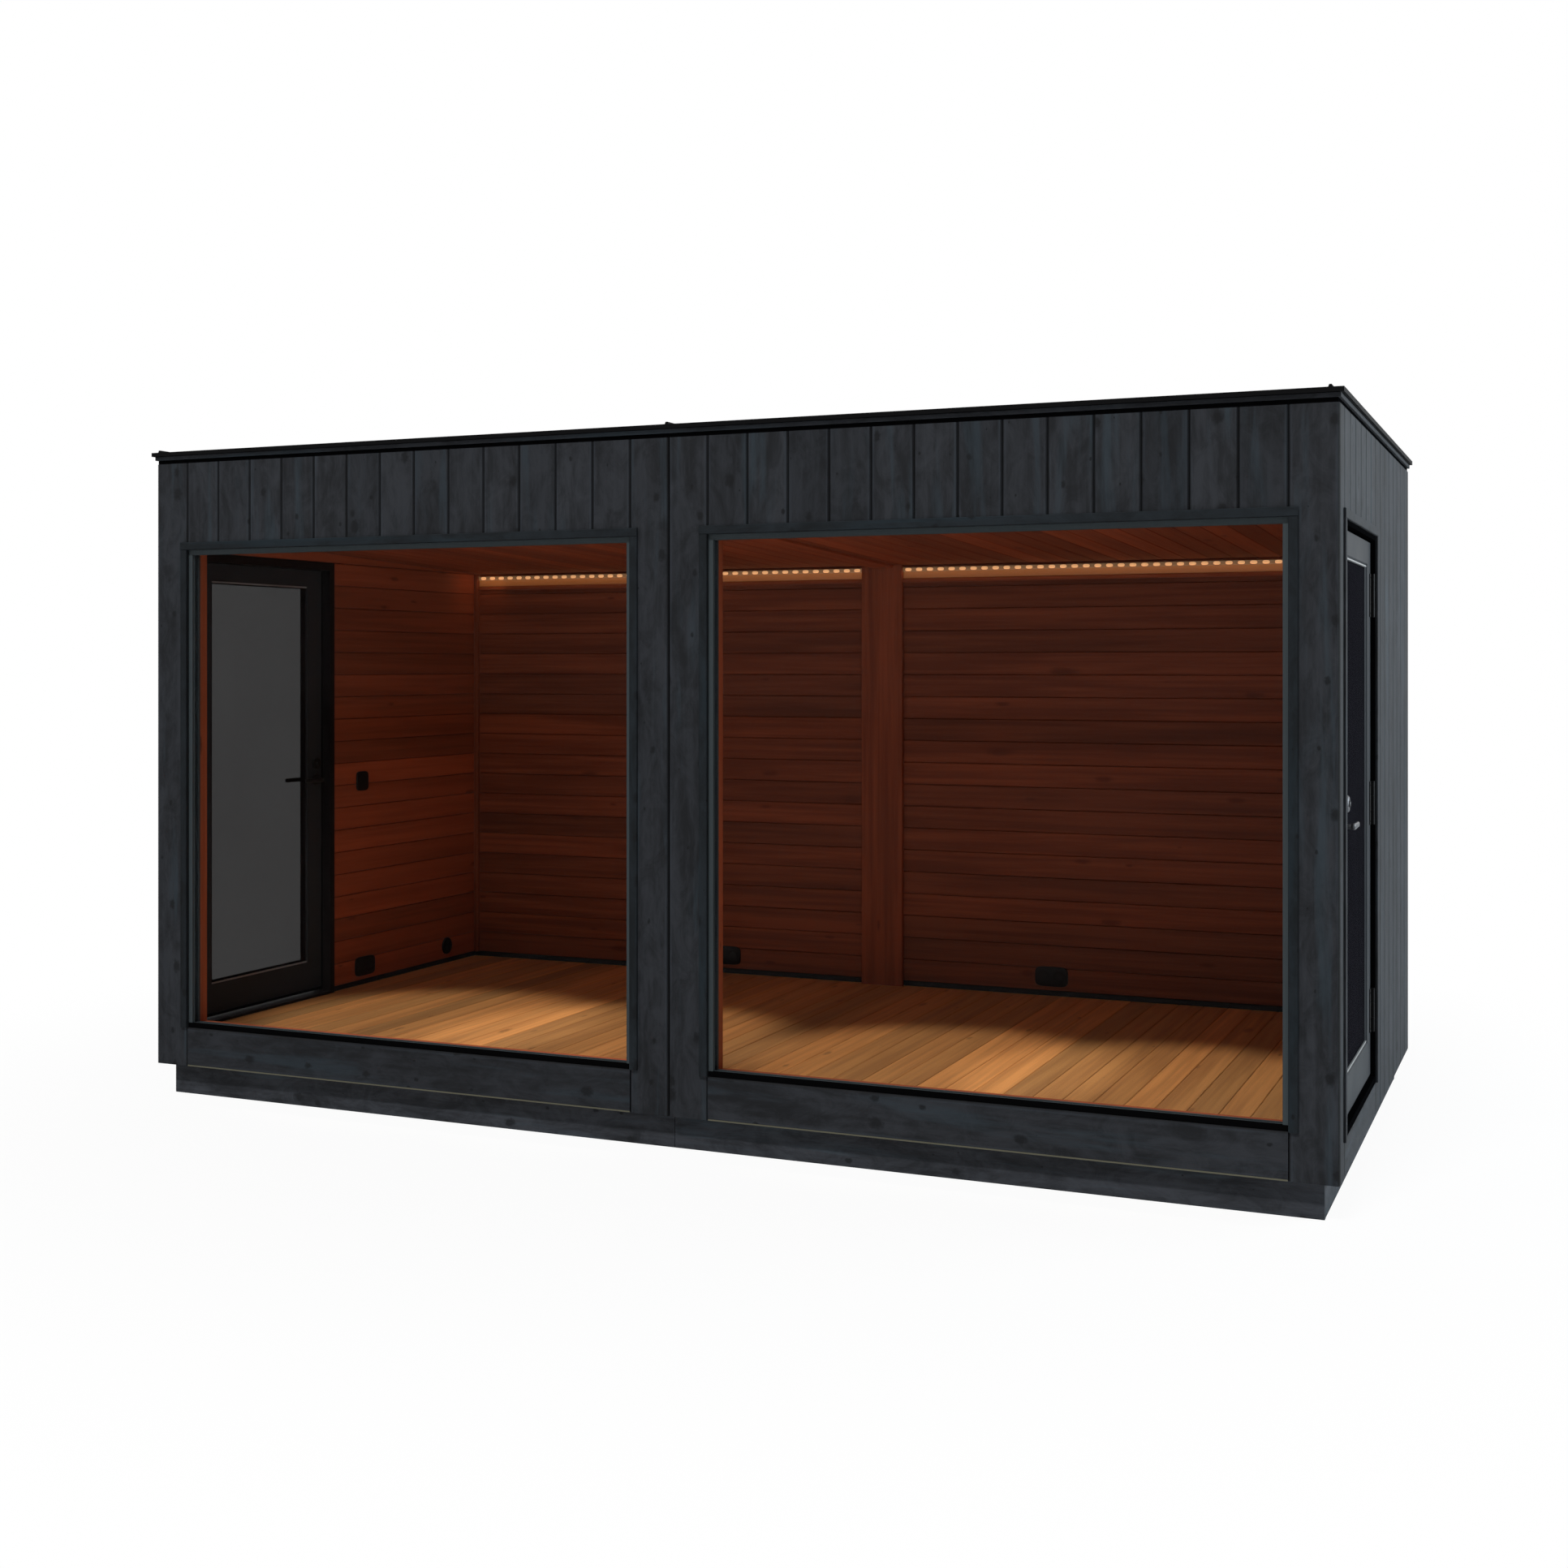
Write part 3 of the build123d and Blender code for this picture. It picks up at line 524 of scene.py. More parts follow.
class Boards:
    """Collects boards of the fixed cabin into one mesh, with the grain's own coordinates and a tone for each board."""

    def __init__(self, seed, joints=1.0, lightest=0.0):
        self.joints = joints
        self.lightest = lightest
        self.points = []
        self.faces = []
        self.corners = {"grain": [], "tone": [], "edge": [], "rim": []}
        self.random = random.Random(seed)

    def add(self, start, along, across, out, run, section):
        """One board from start, run long, with its section in the across and out directions."""
        first = len(self.points)
        count = len(section)
        drift = Vector(self.random.uniform(0, 40) for _ in range(3))
        tone = self.lightest + (1 - self.lightest) * self.random.random() ** 1.5
        width = max(u for u, _ in section)
        thickness = max(v for _, v in section)
        for distance in (0.0, run):
            self.points += [start + along * distance + across * u + out * v for u, v in section]
        near = [first + i for i in range(count)]
        far = [i + count for i in near]
        turn = [(i + 1) % count for i in range(count)]
        faces = [[near[i], near[k], far[k], far[i]] for i, k in enumerate(turn)] + [near[::-1], far]
        self.faces += faces
        for corner in (corner - first for face in faces for corner in face):
            u, v = section[corner % count]
            self.corners["grain"].extend(Vector((0.0 if corner < count else run, u, v)) + drift)
            self.corners["tone"].append(tone)
            self.corners["edge"].append(self.joints if v < thickness - 1e-6 else 0.0)
            self.corners["rim"].append((2 * u / width - 1) * min(1.0, self.joints + 0.1))

    def finish(self, name, slot, replaced, look=None):
        """Make the boards one piece in the place of a CAD node."""
        mesh = bpy.data.meshes.new(name)
        mesh.from_pydata(self.points, [], self.faces)
        for label, values in self.corners.items():
            kind, field = ("FLOAT_VECTOR", "vector") if label == "grain" else ("FLOAT", "value")
            mesh.attributes.new(label, kind, "CORNER").data.foreach_set(field, values)
        work = bmesh.new()
        work.from_mesh(mesh)
        bmesh.ops.recalc_face_normals(work, faces=work.faces)
        work.to_mesh(mesh)
        work.free()
        wrap_up(name, mesh, "cabin", slot, [replaced], look)


def rows(start, end, count):
    """Start and end of each of count equal boards between two places."""
    edges = [start + (end - start) * i / count for i in range(count + 1)]
    return list(zip(edges, edges[1:]))


def outer_walls(groove):
    """The charcoal boards of the four walls."""
    foot, head = WALL_FOOT, WALL_TOP
    over_window, across_module, behind_door, over_door = 13, 15, 8, 6

    def section(wide):
        return v_jointed(wide, CLADDING, groove)

    front = Boards(11)
    face = WALL_FRONT + CLADDING
    spans = [(WINDOW_END, WALL_RIGHT, foot), (HALF_GAP, BOARD, foot)]
    spans += [(start, end, WINDOW_HEAD) for start, end in rows(BOARD, WINDOW_END, over_window)]
    for side, _ in SIDES:
        for start, end, bottom in spans:
            place = Vector((min(side * start, side * end), face, bottom))
            front.add(place, Z, X, -Y, head - bottom, section(end - start))
        place = Vector((min(side * (BOARD + SEAM), side * (WINDOW_END - SEAM)), face, foot))
        front.add(place, X, Z, -Y, WINDOW_END - BOARD - 2 * SEAM, section(WINDOW_FOOT - foot))
    front.finish("front_boards", "stained_timber", "front_cladding")

    back = Boards(12)
    for side, _ in SIDES:
        for start, end in rows(HALF_GAP, WALL_RIGHT, across_module):
            place = Vector((min(side * start, side * end), WALL_BACK - CLADDING, foot))
            back.add(place, Z, X, Y, head - foot, section(end - start))
    back.finish("back_boards", "stained_timber", "back_cladding")

    for side, name in SIDES:
        end_wall = Boards(13 + side, 0.6)
        x = side * (WALL_RIGHT - CLADDING)
        spans = [(WALL_FRONT + CLADDING, DOOR_FRONT, foot)]
        spans += [(start, end, foot) for start, end in rows(DOOR_BACK, WALL_BACK - CLADDING, behind_door)]
        spans += [(start, end, DOOR_HEAD) for start, end in rows(DOOR_FRONT, DOOR_BACK, over_door)]
        for start, end, bottom in spans:
            end_wall.add(Vector((x, start, bottom)), Z, Y, X * side, head - bottom, section(end - start))
        place = Vector((x, DOOR_FRONT + SEAM, foot))
        end_wall.add(place, Y, Z, X * side, DOOR_BACK - DOOR_FRONT - 2 * SEAM, section(DOOR_FOOT - foot))
        end_wall.finish(f"{name}_boards", "stained_timber", f"{name}_cladding")


def base_boards():
    """The recessed plinth, one board to each module front and back and one at each end."""
    near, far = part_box("plinth")
    thick = 0.025
    gap = 0.002
    section = eased(far.z, thick, 0.002)
    plinth = Boards(21, 0.0)
    for face, out in ((near.y + thick, -Y), (far.y - thick, Y)):
        for start, end in ((near.x, -HALF_GAP), (HALF_GAP, far.x)):
            plinth.add(Vector((start, face, 0)), X, Z, out, end - start, section)
    for face, out in ((near.x + thick, -X), (far.x - thick, X)):
        run = far.y - near.y - 2 * thick - 2 * gap
        plinth.add(Vector((face, near.y + thick + gap, 0)), Y, Z, out, run, section)
    # The plinth boards take the lighter copy of the stained timber: painted light.
    plinth.finish("plinth_boards", "stained_timber", "plinth", "painted_light_plinth_timber")


def room_linings(groove, count):
    """Horizontal cedar boards on the four walls of the room, cut round the windows and doors."""
    levels = rows(LINING_FOOT, DOOR_HEAD, count)
    top = (DOOR_HEAD, CEILING_FRONT)
    reach = ROOM_END + LINING

    back = Boards(31, 0.6, 0.4)
    for bottom, head in levels:
        for start in (-reach, HALF_GAP):
            place = Vector((start, ROOM_BACK + LINING, bottom))
            back.add(place, X, Z, -Y, reach - HALF_GAP, v_jointed(head - bottom, LINING, groove))
    # The back lining takes the darker copy of the cedar: painted shade.
    back.finish("back_lining_boards", "cedar", "back_lining", "painted_shade_cedar")

    front = Boards(32)
    for bottom, head in levels + [top]:
        spans = [(-reach, -HALF_GAP), (HALF_GAP, reach)]
        if bottom < WINDOW_HEAD - 0.01:
            spans = [(-reach, -WINDOW_END), (-BOARD, -HALF_GAP), (HALF_GAP, BOARD), (WINDOW_END, reach)]
        for start, end in spans:
            place = Vector((start, ROOM_FRONT - LINING, bottom))
            front.add(place, X, Z, Y, end - start, v_jointed(head - bottom, LINING, groove))
    front.finish("front_lining_boards", "cedar", "front_lining")

    for side, name in SIDES:
        end_wall = Boards(34 + side)
        for bottom, head in levels + [top]:
            spans = [(ROOM_FRONT, ROOM_BACK)]
            if bottom < DOOR_HEAD - 0.01:
                spans = [(ROOM_FRONT, DOOR_FRONT), (DOOR_BACK, ROOM_BACK)]
            for start, end in spans:
                place = Vector((side * reach, start, bottom))
                end_wall.add(place, Y, Z, X * -side, end - start, v_jointed(head - bottom, LINING, groove))
        end_wall.finish(f"{name}_lining_boards", "cedar", f"{name}_lining")


def fall():
    """Direction of the ceiling's fall to the back, the direction out of it and its length."""
    along = Vector((0, ROOM_BACK - ROOM_FRONT, CEILING_BACK - CEILING_FRONT))
    out = along.cross(X)
    return along.normalized(), out.normalized() * (1 if out.z < 0 else -1), along.length


def ceiling_boards(groove, count):
    """Cedar boards that run front to back along the falling ceiling."""
    along, out, run = fall()
    ceiling = Boards(41)
    for side, _ in SIDES:
        for start, end in rows(HALF_GAP, ROOM_END, count):
            place = Vector((min(side * start, side * end), ROOM_FRONT, CEILING_FRONT)) - out * LINING
            ceiling.add(place, along, X, out, run, v_jointed(end - start, LINING, groove))
    ceiling.finish("ceiling_boards", "cedar", "ceilings")


def floor_boards(groove, count):
    """Oiled boards that run front to back, with a narrow strip under each end lining."""
    near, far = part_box("floor_boards")
    thick = FLOOR_TOP - FLOOR_UNDER
    floor = Boards(51, 0.6)
    for side, _ in SIDES:
        for start, end in rows(HALF_GAP, ROOM_END, count):
            place = Vector((min(side * start, side * end), near.y, FLOOR_UNDER))
            floor.add(place, Y, X, Z, far.y - near.y, v_jointed(end - start, thick, groove))
        x = min(side * ROOM_END, side * far.x)
        for start, end in ((near.y, DOOR_FRONT), (DOOR_BACK, far.y)):
            floor.add(Vector((x, start, FLOOR_UNDER)), Y, X, Z, end - start, eased(far.x - ROOM_END, thick, 0.001))
    floor.finish("floor_decking", "floor_timber", "floor_boards")


def cedar_trims():
    """Cover strips over the module joint, corner battens and the batten under the lights."""
    near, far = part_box("pilaster")
    cover = Boards(61, 0.0)
    cover.add(Vector((near.x, far.y, near.z)), Z, X, -Y, far.z - near.z, eased(far.x - near.x, far.y - near.y, 0.002))
    # The pilaster takes the darker copy of the cedar: painted shade.
    cover.finish("pilaster_board", "cedar", "pilaster", "painted_shade_cedar")
    inner = far.x

    along, out, _ = fall()
    near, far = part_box("ceiling_cover")
    thick = 0.01
    strip = Boards(62, 0.0)
    place = Vector((near.x, near.y, far.z))
    strip.add(place, along, X, out, (far.y - near.y) / along.y, eased(far.x - near.x, thick, 0.002))
    strip.finish("ceiling_cover_board", "cedar", "ceiling_cover")

    near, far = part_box("corner_battens")
    wide = far.y - near.y
    # Every corner batten takes the darkest board tone: painted shade on the battens in the room's back corners.
    corners = Boards(63, 0.0, 1.0)
    for x in (near.x, far.x - wide):
        corners.add(Vector((x, far.y, near.z)), Z, X, -Y, far.z - near.z, eased(wide, wide, 0.003))
    corners.finish("corner_batten_pieces", "cedar", "corner_battens")

    near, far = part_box("light_batten")
    battens = Boards(64, 0.0)
    for start, end in ((near.x, -inner), (inner, far.x)):
        place = Vector((start, far.y, near.z))
        battens.add(place, X, Z, -Y, end - start, eased(far.z - near.z, far.y - near.y, 0.002))
    battens.finish("light_batten_pieces", "cedar", "light_batten")


def lofted(work, loops):
    """Bridge loops of equal length with quads and close both ends."""
    rings = [[work.verts.new(point) for point in loop] for loop in loops]
    count = len(rings[0])
    for first, second in zip(rings, rings[1:]):
        for i in range(count):
            work.faces.new((first[i], first[(i + 1) % count], second[(i + 1) % count], second[i]))
    work.faces.new(rings[-1])
    work.faces.new(list(reversed(rings[0])))


def superellipse(centre, axes, wide, tall, depth, power, count=32):
    """A loop of points between a circle, at power 2, and a square with round corners."""
    right, up, out = axes
    points = []
    for i in range(count):
        angle = math.tau * (i + 0.5) / count
        c, s = math.cos(angle), math.sin(angle)
        u = math.copysign(abs(c) ** (2 / power), c) * wide / 2
        v = math.copysign(abs(s) ** (2 / power), s) * tall / 2
        points.append(centre + right * u + up * v + out * depth)
    return points


def rectangle(corner, axes, wide, tall, inset, depth):
    """A loop of four points round a rectangle, drawn in from its edges and moved out of its plane."""
    right, up, out = axes
    spots = ((inset, inset), (wide - inset, inset), (wide - inset, tall - inset), (inset, tall - inset))
    return [corner + right * u + up * v + out * depth for u, v in spots]


def ring(work, corner, axes, wide, tall, section):
    """Sweep a closed section of (inwards, outwards) pairs round a rectangle, with mitred corners."""
    loops = []
    for inset, depth in section:
        loops.append([work.verts.new(point) for point in rectangle(corner, axes, wide, tall, inset, depth)])
    for first, second in zip(loops, loops[1:] + loops[:1]):
        for i in range(4):
            work.faces.new((first[i], first[(i + 1) % 4], second[(i + 1) % 4], second[i]))


def bar(work, corner, axes, wide, tall, thick, ease=0.001):
    """A flat bar with eased front edges, from the corner at its back."""
    steps = ((0, 0), (0, thick - ease), (ease, thick))
    lofted(work, [rectangle(corner, axes, wide, tall, inset, depth) for inset, depth in steps])


def turned(work, centre, axes, profile, power=2, count=32):
    """A round form from (diameter, distance) pairs, or a square one at a higher power."""
    lofted(work, [superellipse(centre, axes, across, across, depth, power, count) for across, depth in profile])


def screw_head(work, centre, axes, size):
    """A low dome with a dished drive."""
    profile = [(1.0, 0.0), (1.0, 0.06), (0.86, 0.13), (0.5, 0.17), (0.42, 0.07), (0.1, 0.06)]
    turned(work, centre, axes, [(size * across, size * depth) for across, depth in profile], count=14)


def built(name, work, body, slot, replaced=(), look=None, smooth=False):
    """Turn a work mesh into a piece."""
    mesh = bpy.data.meshes.new(name)
    bmesh.ops.recalc_face_normals(work, faces=work.faces)
    work.to_mesh(mesh)
    work.free()
    if smooth:
        mesh.shade_smooth()
        mesh.set_sharp_from_angle(angle=math.radians(35))
    wrap_up(name, mesh, body, slot, replaced, look)


def window_joinery():
    """Casing boards, gaskets, sill strips and the cedar reveals of the two front windows."""
    near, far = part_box("window_frames")
    pane = low("window_glass").y
    bar_width = 0.018
    wide = high("window_casings").x - WINDOW_END
    tall = far.z - near.z
    section = eased(wide, WALL_FRONT - low("window_casings").y, 0.002)
    room_near, room_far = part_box("window_reveals")
    board = 0.012
    flat = eased(room_far.y - room_near.y, board, 0.001)
    edge = bar_width - 0.001
    film = 0.0006
    gasket = [(edge, -0.001), (edge, 0.0022), (bar_width + 0.0015, 0.002), (bar_width + 0.002, 0.0)]
    casings = Boards(71, 0.0)
    reveals = Boards(72, 0.0)
    gaskets, sills = bmesh.new(), bmesh.new()
    for side, _ in SIDES:
        left, right = sorted((side * BOARD, side * WINDOW_END))
        for x in (left - wide, right):
            casings.add(Vector((x, WALL_FRONT, near.z)), Z, X, -Y, tall, section)
        casings.add(Vector((left - wide, WALL_FRONT, far.z)), X, Z, -Y, right - left + 2 * wide, section)

        ring(gaskets, Vector((left, pane, near.z)), FRONT, right - left, tall, gasket)
        bar(sills, Vector((left, near.y, near.z)), FRONT, right - left, bar_width + film, 0.0008, 0.0003)
        ledge = Vector((left + bar_width, near.y, near.z + bar_width))
        bar(sills, ledge, TOP, right - left - 2 * bar_width, pane - near.y, film, 0.0002)

        for x, face in ((left, X), (right, -X)):
            reveals.add(Vector((x, room_near.y, near.z)), Z, Y, face, tall, flat)
        for z, face in ((near.z, Z), (far.z, -Z)):
            reveals.add(Vector((left + board, room_near.y, z)), X, Y, face, right - left - 2 * board, flat)
    casings.finish("window_casing_boards", "dark_frame", "window_casings", "casing_timber")
    reveals.finish("window_reveal_boards", "cedar", "window_reveals")
    built("window_gaskets", gaskets, "cabin", "grey_frame")
    built("window_sill_strips", sills, "cabin", "grey_frame", look="black_rubber_and_shade")


def at_door(side, x, y, z):
    """The place on the left (-1) or right (1) door: the left door is the right one turned half round."""
    middle = (DOOR_FRONT + DOOR_BACK) / 2
    return Vector((side * x, middle + side * (y - middle), z))


def door_joinery():
    """Casing boards, glazing beads with strips of painted highlight, and seals of both doors."""
    near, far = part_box("door_casings")
    wide = far.z - DOOR_HEAD
    section = eased(wide, far.x - WALL_RIGHT, 0.002)
    casings = Boards(81, 0.0)
    for side, _ in SIDES:
        x = side * WALL_RIGHT
        for y in (DOOR_FRONT - wide, DOOR_BACK):
            casings.add(Vector((x, y, near.z)), Z, Y, X * side, DOOR_HEAD - near.z, section)
        head = Vector((x, DOOR_FRONT - wide, DOOR_HEAD))
        casings.add(head, Y, Z, X * side, DOOR_BACK - DOOR_FRONT + 2 * wide, section)
    casings.finish("door_casing_boards", "dark_frame", "door_casings", "stained_timber")

    pane_near, pane_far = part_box("right_door_glass")
    groove = 0.01
    light_y, light_z = pane_near.y + groove, pane_near.z + groove
    glass_wide = pane_far.y - pane_near.y - 2 * groove
    glass_tall = pane_far.z - pane_near.z - 2 * groove
    leaf_near, leaf_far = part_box("right_door_leaf")
    inset = 0.004
    lift = 0.0002
    highlight_tall = 0.006
    lip = [(0, 0.0), (0, 0.003), (0.004, 0.0048), (0.008, 0.003), (0.008, 0.0)]
    for side, name in SIDES:
        beads, highlight_strips, seals = bmesh.new(), bmesh.new(), bmesh.new()
        for face, plane, out in ((pane_far.x, LEAF_OUTER, X * side), (pane_near.x, LEAF_INNER, X * -side)):
            axes = (Y * side, Z, out)
            corner = at_door(side, face, light_y, light_z)
            rise = abs(plane - face) - 0.005
            bead = [(0, lift), (0, rise), (0.003, rise), (0.008, rise * 0.35), (0.008, lift)]
            ring(beads, corner, axes, glass_wide, glass_tall, bead)
            seal = [(0.0075, lift), (0.0075, rise * 0.3), (0.0105, rise * 0.15), (0.0105, lift)]
            ring(seals, corner, axes, glass_wide, glass_tall, seal)
            # Light strips only along the top and bottom of each light: painted highlight of the bead catching the
            # light, on the bead's own light metal.
            for z in (light_z + lift, light_z + glass_tall - highlight_tall - lift):
                strip = at_door(side, face, light_y + inset, z) + out * (rise - 0.001)
                bar(highlight_strips, strip, axes, glass_wide - 2 * inset, highlight_tall, 0.004)
        foot = at_door(side, LEAF_INNER, leaf_near.y + inset, leaf_near.z + inset)
        leaf_wide, leaf_tall = (leaf_far - leaf_near).yz
        ring(seals, foot, (Y * side, Z, X * -side), leaf_wide - 2 * inset, leaf_tall - 2 * inset, lip)
        built(f"{name}_glazing_beads", beads, f"{name}_door", "dark_frame")
        built(f"{name}_highlit_beads", highlight_strips, f"{name}_door", "lock_metal", look="bead_with_painted_highlight")
        built(f"{name}_door_seals", seals, f"{name}_door", "dark_frame", look="black_rubber_and_shade")


def lock_furniture():
    """Steel lever and lock collar outside, black furniture inside, black rosettes and hinge screws."""
    lever_near, lever_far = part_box("right_door_lever")
    grip_tall = lever_far.z - lever_near.z
    grip = 0.014
    reach = lever_far.x - LEAF_OUTER
    # places along the grip with the scale of its section there
    bend = ((-0.01, 0.35), (-0.009, 0.7), (-0.005, 0.93), (0.002, 1.0), (0.03, 0.97))
    bend += ((0.08, 0.86), (0.107, 0.86), (0.112, 0.72), (0.115, 0.4))
    neck = [(0.018, -0.02), (0.018, 0.0095), (0.016, 0.0105), (0.016, reach - grip)]
    plate = [(0.052, 0.0), (0.052, 0.006), (0.049, 0.0085)]
    rosette = plate + [(0.024, 0.009), (0.0195, 0.009)]
    rim = high("right_door_lock").x - LEAF_OUTER - 0.004
    collar = [(0.054, 0.0), (0.054, rim * 0.7), (0.05, rim * 0.88), (0.043, rim), (0.024, rim), (0.022, rim - 0.002)]
    barrel = [(0.017, rim - 0.002), (0.017, rim + 0.0035), (0.0155, rim + 0.004)]
    inner_barrel = [(0.017, 0.008), (0.017, 0.0125), (0.0155, 0.013)]
    hinge_near, hinge_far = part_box("right_door_hinges")
    half_hinge = 0.075
    hinge_leaf = 0.003
    screw = 0.007
    low_z, high_z = hinge_near.z + half_hinge, hinge_far.z - half_hinge
    key_wide, key_tall = 0.0024, 0.009
    holes = ((-0.062, 0.008), (-0.03, 0.017), (0.03, 0.017), (0.062, 0.008))
    for side, name in SIDES:
        across = Y * side
        outer, inner = (across, Z, X * side), (across, Z, X * -side)
        levers, inner_levers, locks, inner_locks = (bmesh.new() for _ in range(4))
        keys, rosettes, screws = (bmesh.new() for _ in range(3))
        for plane, axes, work in ((LEAF_OUTER, outer, levers), (LEAF_INNER, inner, inner_levers)):
            out = axes[2]
            pivot = at_door(side, plane, LEVER_Y, LEVER_Z)
            middle = pivot + out * (reach - grip / 2)
            loops = []
            for along, scale in bend:
                centre = middle + across * along
                loops.append(superellipse(centre, (out, Z, across), grip * scale, grip_tall * scale, 0.0, 2.8, 24))
            lofted(work, loops)
            turned(work, pivot, axes, neck, count=24)
            turned(rosettes, pivot, axes, rosette)
        pivot = at_door(side, LEAF_OUTER, LEVER_Y, LOCK_Z)
        turned(locks, pivot, outer, collar)
        turned(locks, pivot, outer, barrel)
        back = at_door(side, LEAF_INNER, LEVER_Y, LOCK_Z)
        turned(inner_locks, back, inner, plate + [(0.022, 0.009)])
        turned(inner_locks, back, inner, inner_barrel)
        # Flat black slots on the lock barrels: painted shade of the key holes.
        for centre, axes, depth in ((pivot, outer, rim + 0.0038), (back, inner, 0.0128)):
            corner = centre - across * key_wide / 2 - Z * key_tall / 2
            bar(keys, corner + axes[2] * depth, axes, key_wide, key_tall, 0.0002, 0.0001)
        for z in (low_z, (low_z + high_z) / 2, high_z):
            for rise, shift in holes:
                spot = at_door(side, LEAF_OUTER + hinge_leaf, hinge_near.y + shift, z + rise)
                screw_head(screws, spot, outer, screw)
        lever, door, black = f"{name}_lever", f"{name}_door", "black_fittings"
        built(f"{name}_outer_lever", levers, lever, "lock_metal", [f"{name}_door_lever"], smooth=True)
        built(f"{name}_inner_lever", inner_levers, lever, "lock_metal", look=black, smooth=True)
        built(f"{name}_lock_collar", locks, door, "lock_metal", [f"{name}_door_lock"], smooth=True)
        built(f"{name}_inner_lock", inner_locks, door, "lock_metal", look=black, smooth=True)
        built(f"{name}_painted_keyhole_shade", keys, door, "lock_metal", look="black_rubber_and_shade")
        built(f"{name}_rosettes", rosettes, door, "lock_metal", look=black, smooth=True)
        built(f"{name}_hinge_screws", screws, door, "hinge_metal", smooth=True)


def roof_covering(pitch):
    """Lapped roof sheets between the caps, the fascia boards, a black strip of painted shade in the gap under them, and
    screws along the caps.
    """
    deck_left, deck_right = high("roof_trim_left").x, low("roof_trim_right").x
    deck_front, deck_back = high("roof_trim_front").y, low("roof_trim_back").y
    cap = high("roof_joint_cap").x
    deck = high("roof_panels").z
    lap = 0.08
    thick = 0.0025
    sheets = bmesh.new()
    for start, end in ((deck_left, -cap), (cap, deck_right)):
        (front, middle), (_, back) = rows(deck_front, deck_back, 2)
        bar(sheets, Vector((start, front, deck + thick)), TOP, end - start, middle - front + lap, thick)
        bar(sheets, Vector((start, middle, deck)), TOP, end - start, back - middle, thick)
    built("roof_sheets", sheets, "cabin", "roof_membrane")

    near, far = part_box("roof_fascias")
    deep = CLADDING + WALL_FRONT - near.y
    section = eased(far.z - near.z, deep, 0.0015)
    gap = 0.002
    fascias = Boards(91, 0.0)
    for y, out in ((near.y + deep, -Y), (far.y - deep, Y)):
        fascias.add(Vector((near.x, y, near.z)), X, Z, out, far.x - near.x, section)
    run = far.y - near.y - 2 * deep - 2 * gap
    for side, _ in SIDES:
        place = Vector((side * (far.x - deep), near.y + deep + gap, near.z))
        fascias.add(place, Y, Z, X * side, run, section)
    fascias.finish("roof_fascia_boards", "stained_timber", "roof_fascias")

    # A thin black strip set back in the gap between the wall boards and the fascia: painted shade of the gap.
    seals = bmesh.new()
    setback = 0.004
    seal = 0.012
    corner = Vector((WALL_LEFT + setback, WALL_FRONT + setback, WALL_TOP))
    rise = near.z - WALL_TOP
    strip = [(0, 0), (0, rise), (seal, rise), (seal, 0)]
    long_side, short_side = WALL_RIGHT - WALL_LEFT - 2 * setback, WALL_BACK - WALL_FRONT - 2 * setback
    ring(seals, corner, TOP, long_side, short_side, strip)
    built("roof_gap_shade_strips", seals, "cabin", "roof_trim", look="black_rubber_and_shade")

    screws = bmesh.new()
    top = high("roof_trim_front").z
    head = 0.011
    from_edge, from_end, beyond_deck = 0.03, 0.05, 0.018
    reach = deck_right - from_end
    count = int(2 * deck_right / pitch)
    for y in (low("roof_trim_front").y + from_edge, high("roof_trim_back").y - from_edge):
        for i in range(count + 1):
            screw_head(screws, Vector((-reach + 2 * reach * i / count, y, top)), TOP, head)
    depth = deck_back - deck_front
    count = int(depth / pitch)
    for x in (deck_left - beyond_deck, deck_right + beyond_deck):
        for i in range(count + 1):
            screw_head(screws, Vector((x, deck_front + depth * i / count, top)), TOP, head)
    built("roof_cap_screws", screws, "cabin", "roof_trim", smooth=True)


def light_strip(pitch):
    """A slim channel with a row of warm lights behind small lenses; the channel's faint glow and a glowing band under
    it, for the light the strip throws on the wall, are painted light.
    """
    near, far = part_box("light_strip")
    inner = high("pilaster").x
    tall, deep = far.z - near.z, far.y - near.y
    lips = [(0, 0), (0, deep - 0.001), (0.0015, deep - 0.001), (0.002, deep - 0.004)]
    lens = [(1.0, 0.0), (1.0, 0.001), (0.85, 0.0032), (0.55, 0.0044), (0.15, 0.0048)]
    lens_wide, lens_tall, lens_depth = 0.03, 0.0155, 0.005
    glow_band_tall = 0.03
    channel, glow_band, dots = bmesh.new(), bmesh.new(), bmesh.new()
    for start, end in ((near.x, -inner), (inner, far.x)):
        run = end - start
        corner = Vector((start, far.y, near.z))
        lofted(channel, [rectangle(corner, FRONT, run, tall, inset, depth) for inset, depth in lips])
        count = int(run / pitch)
        for i in range(count):
            centre = Vector((start + run * (i + 0.5) / count, near.y + lens_depth, (near.z + far.z) / 2))
            lofted(dots, [superellipse(centre, FRONT, lens_wide * k, lens_tall * k, d, 2.4, 16) for k, d in lens])
        # A glowing band under the channel: painted light for the strip's glow on the wall below.
        bar(glow_band, corner - Z * glow_band_tall, FRONT, run, glow_band_tall, 0.003)
    built("light_channel", channel, "cabin", "warm_light", ["light_strip"], "lit_channel")
    built("painted_strip_glow", glow_band, "cabin", "warm_light", look="painted_wall_glow")
    built("light_dots", dots, "cabin", "warm_light", smooth=True)


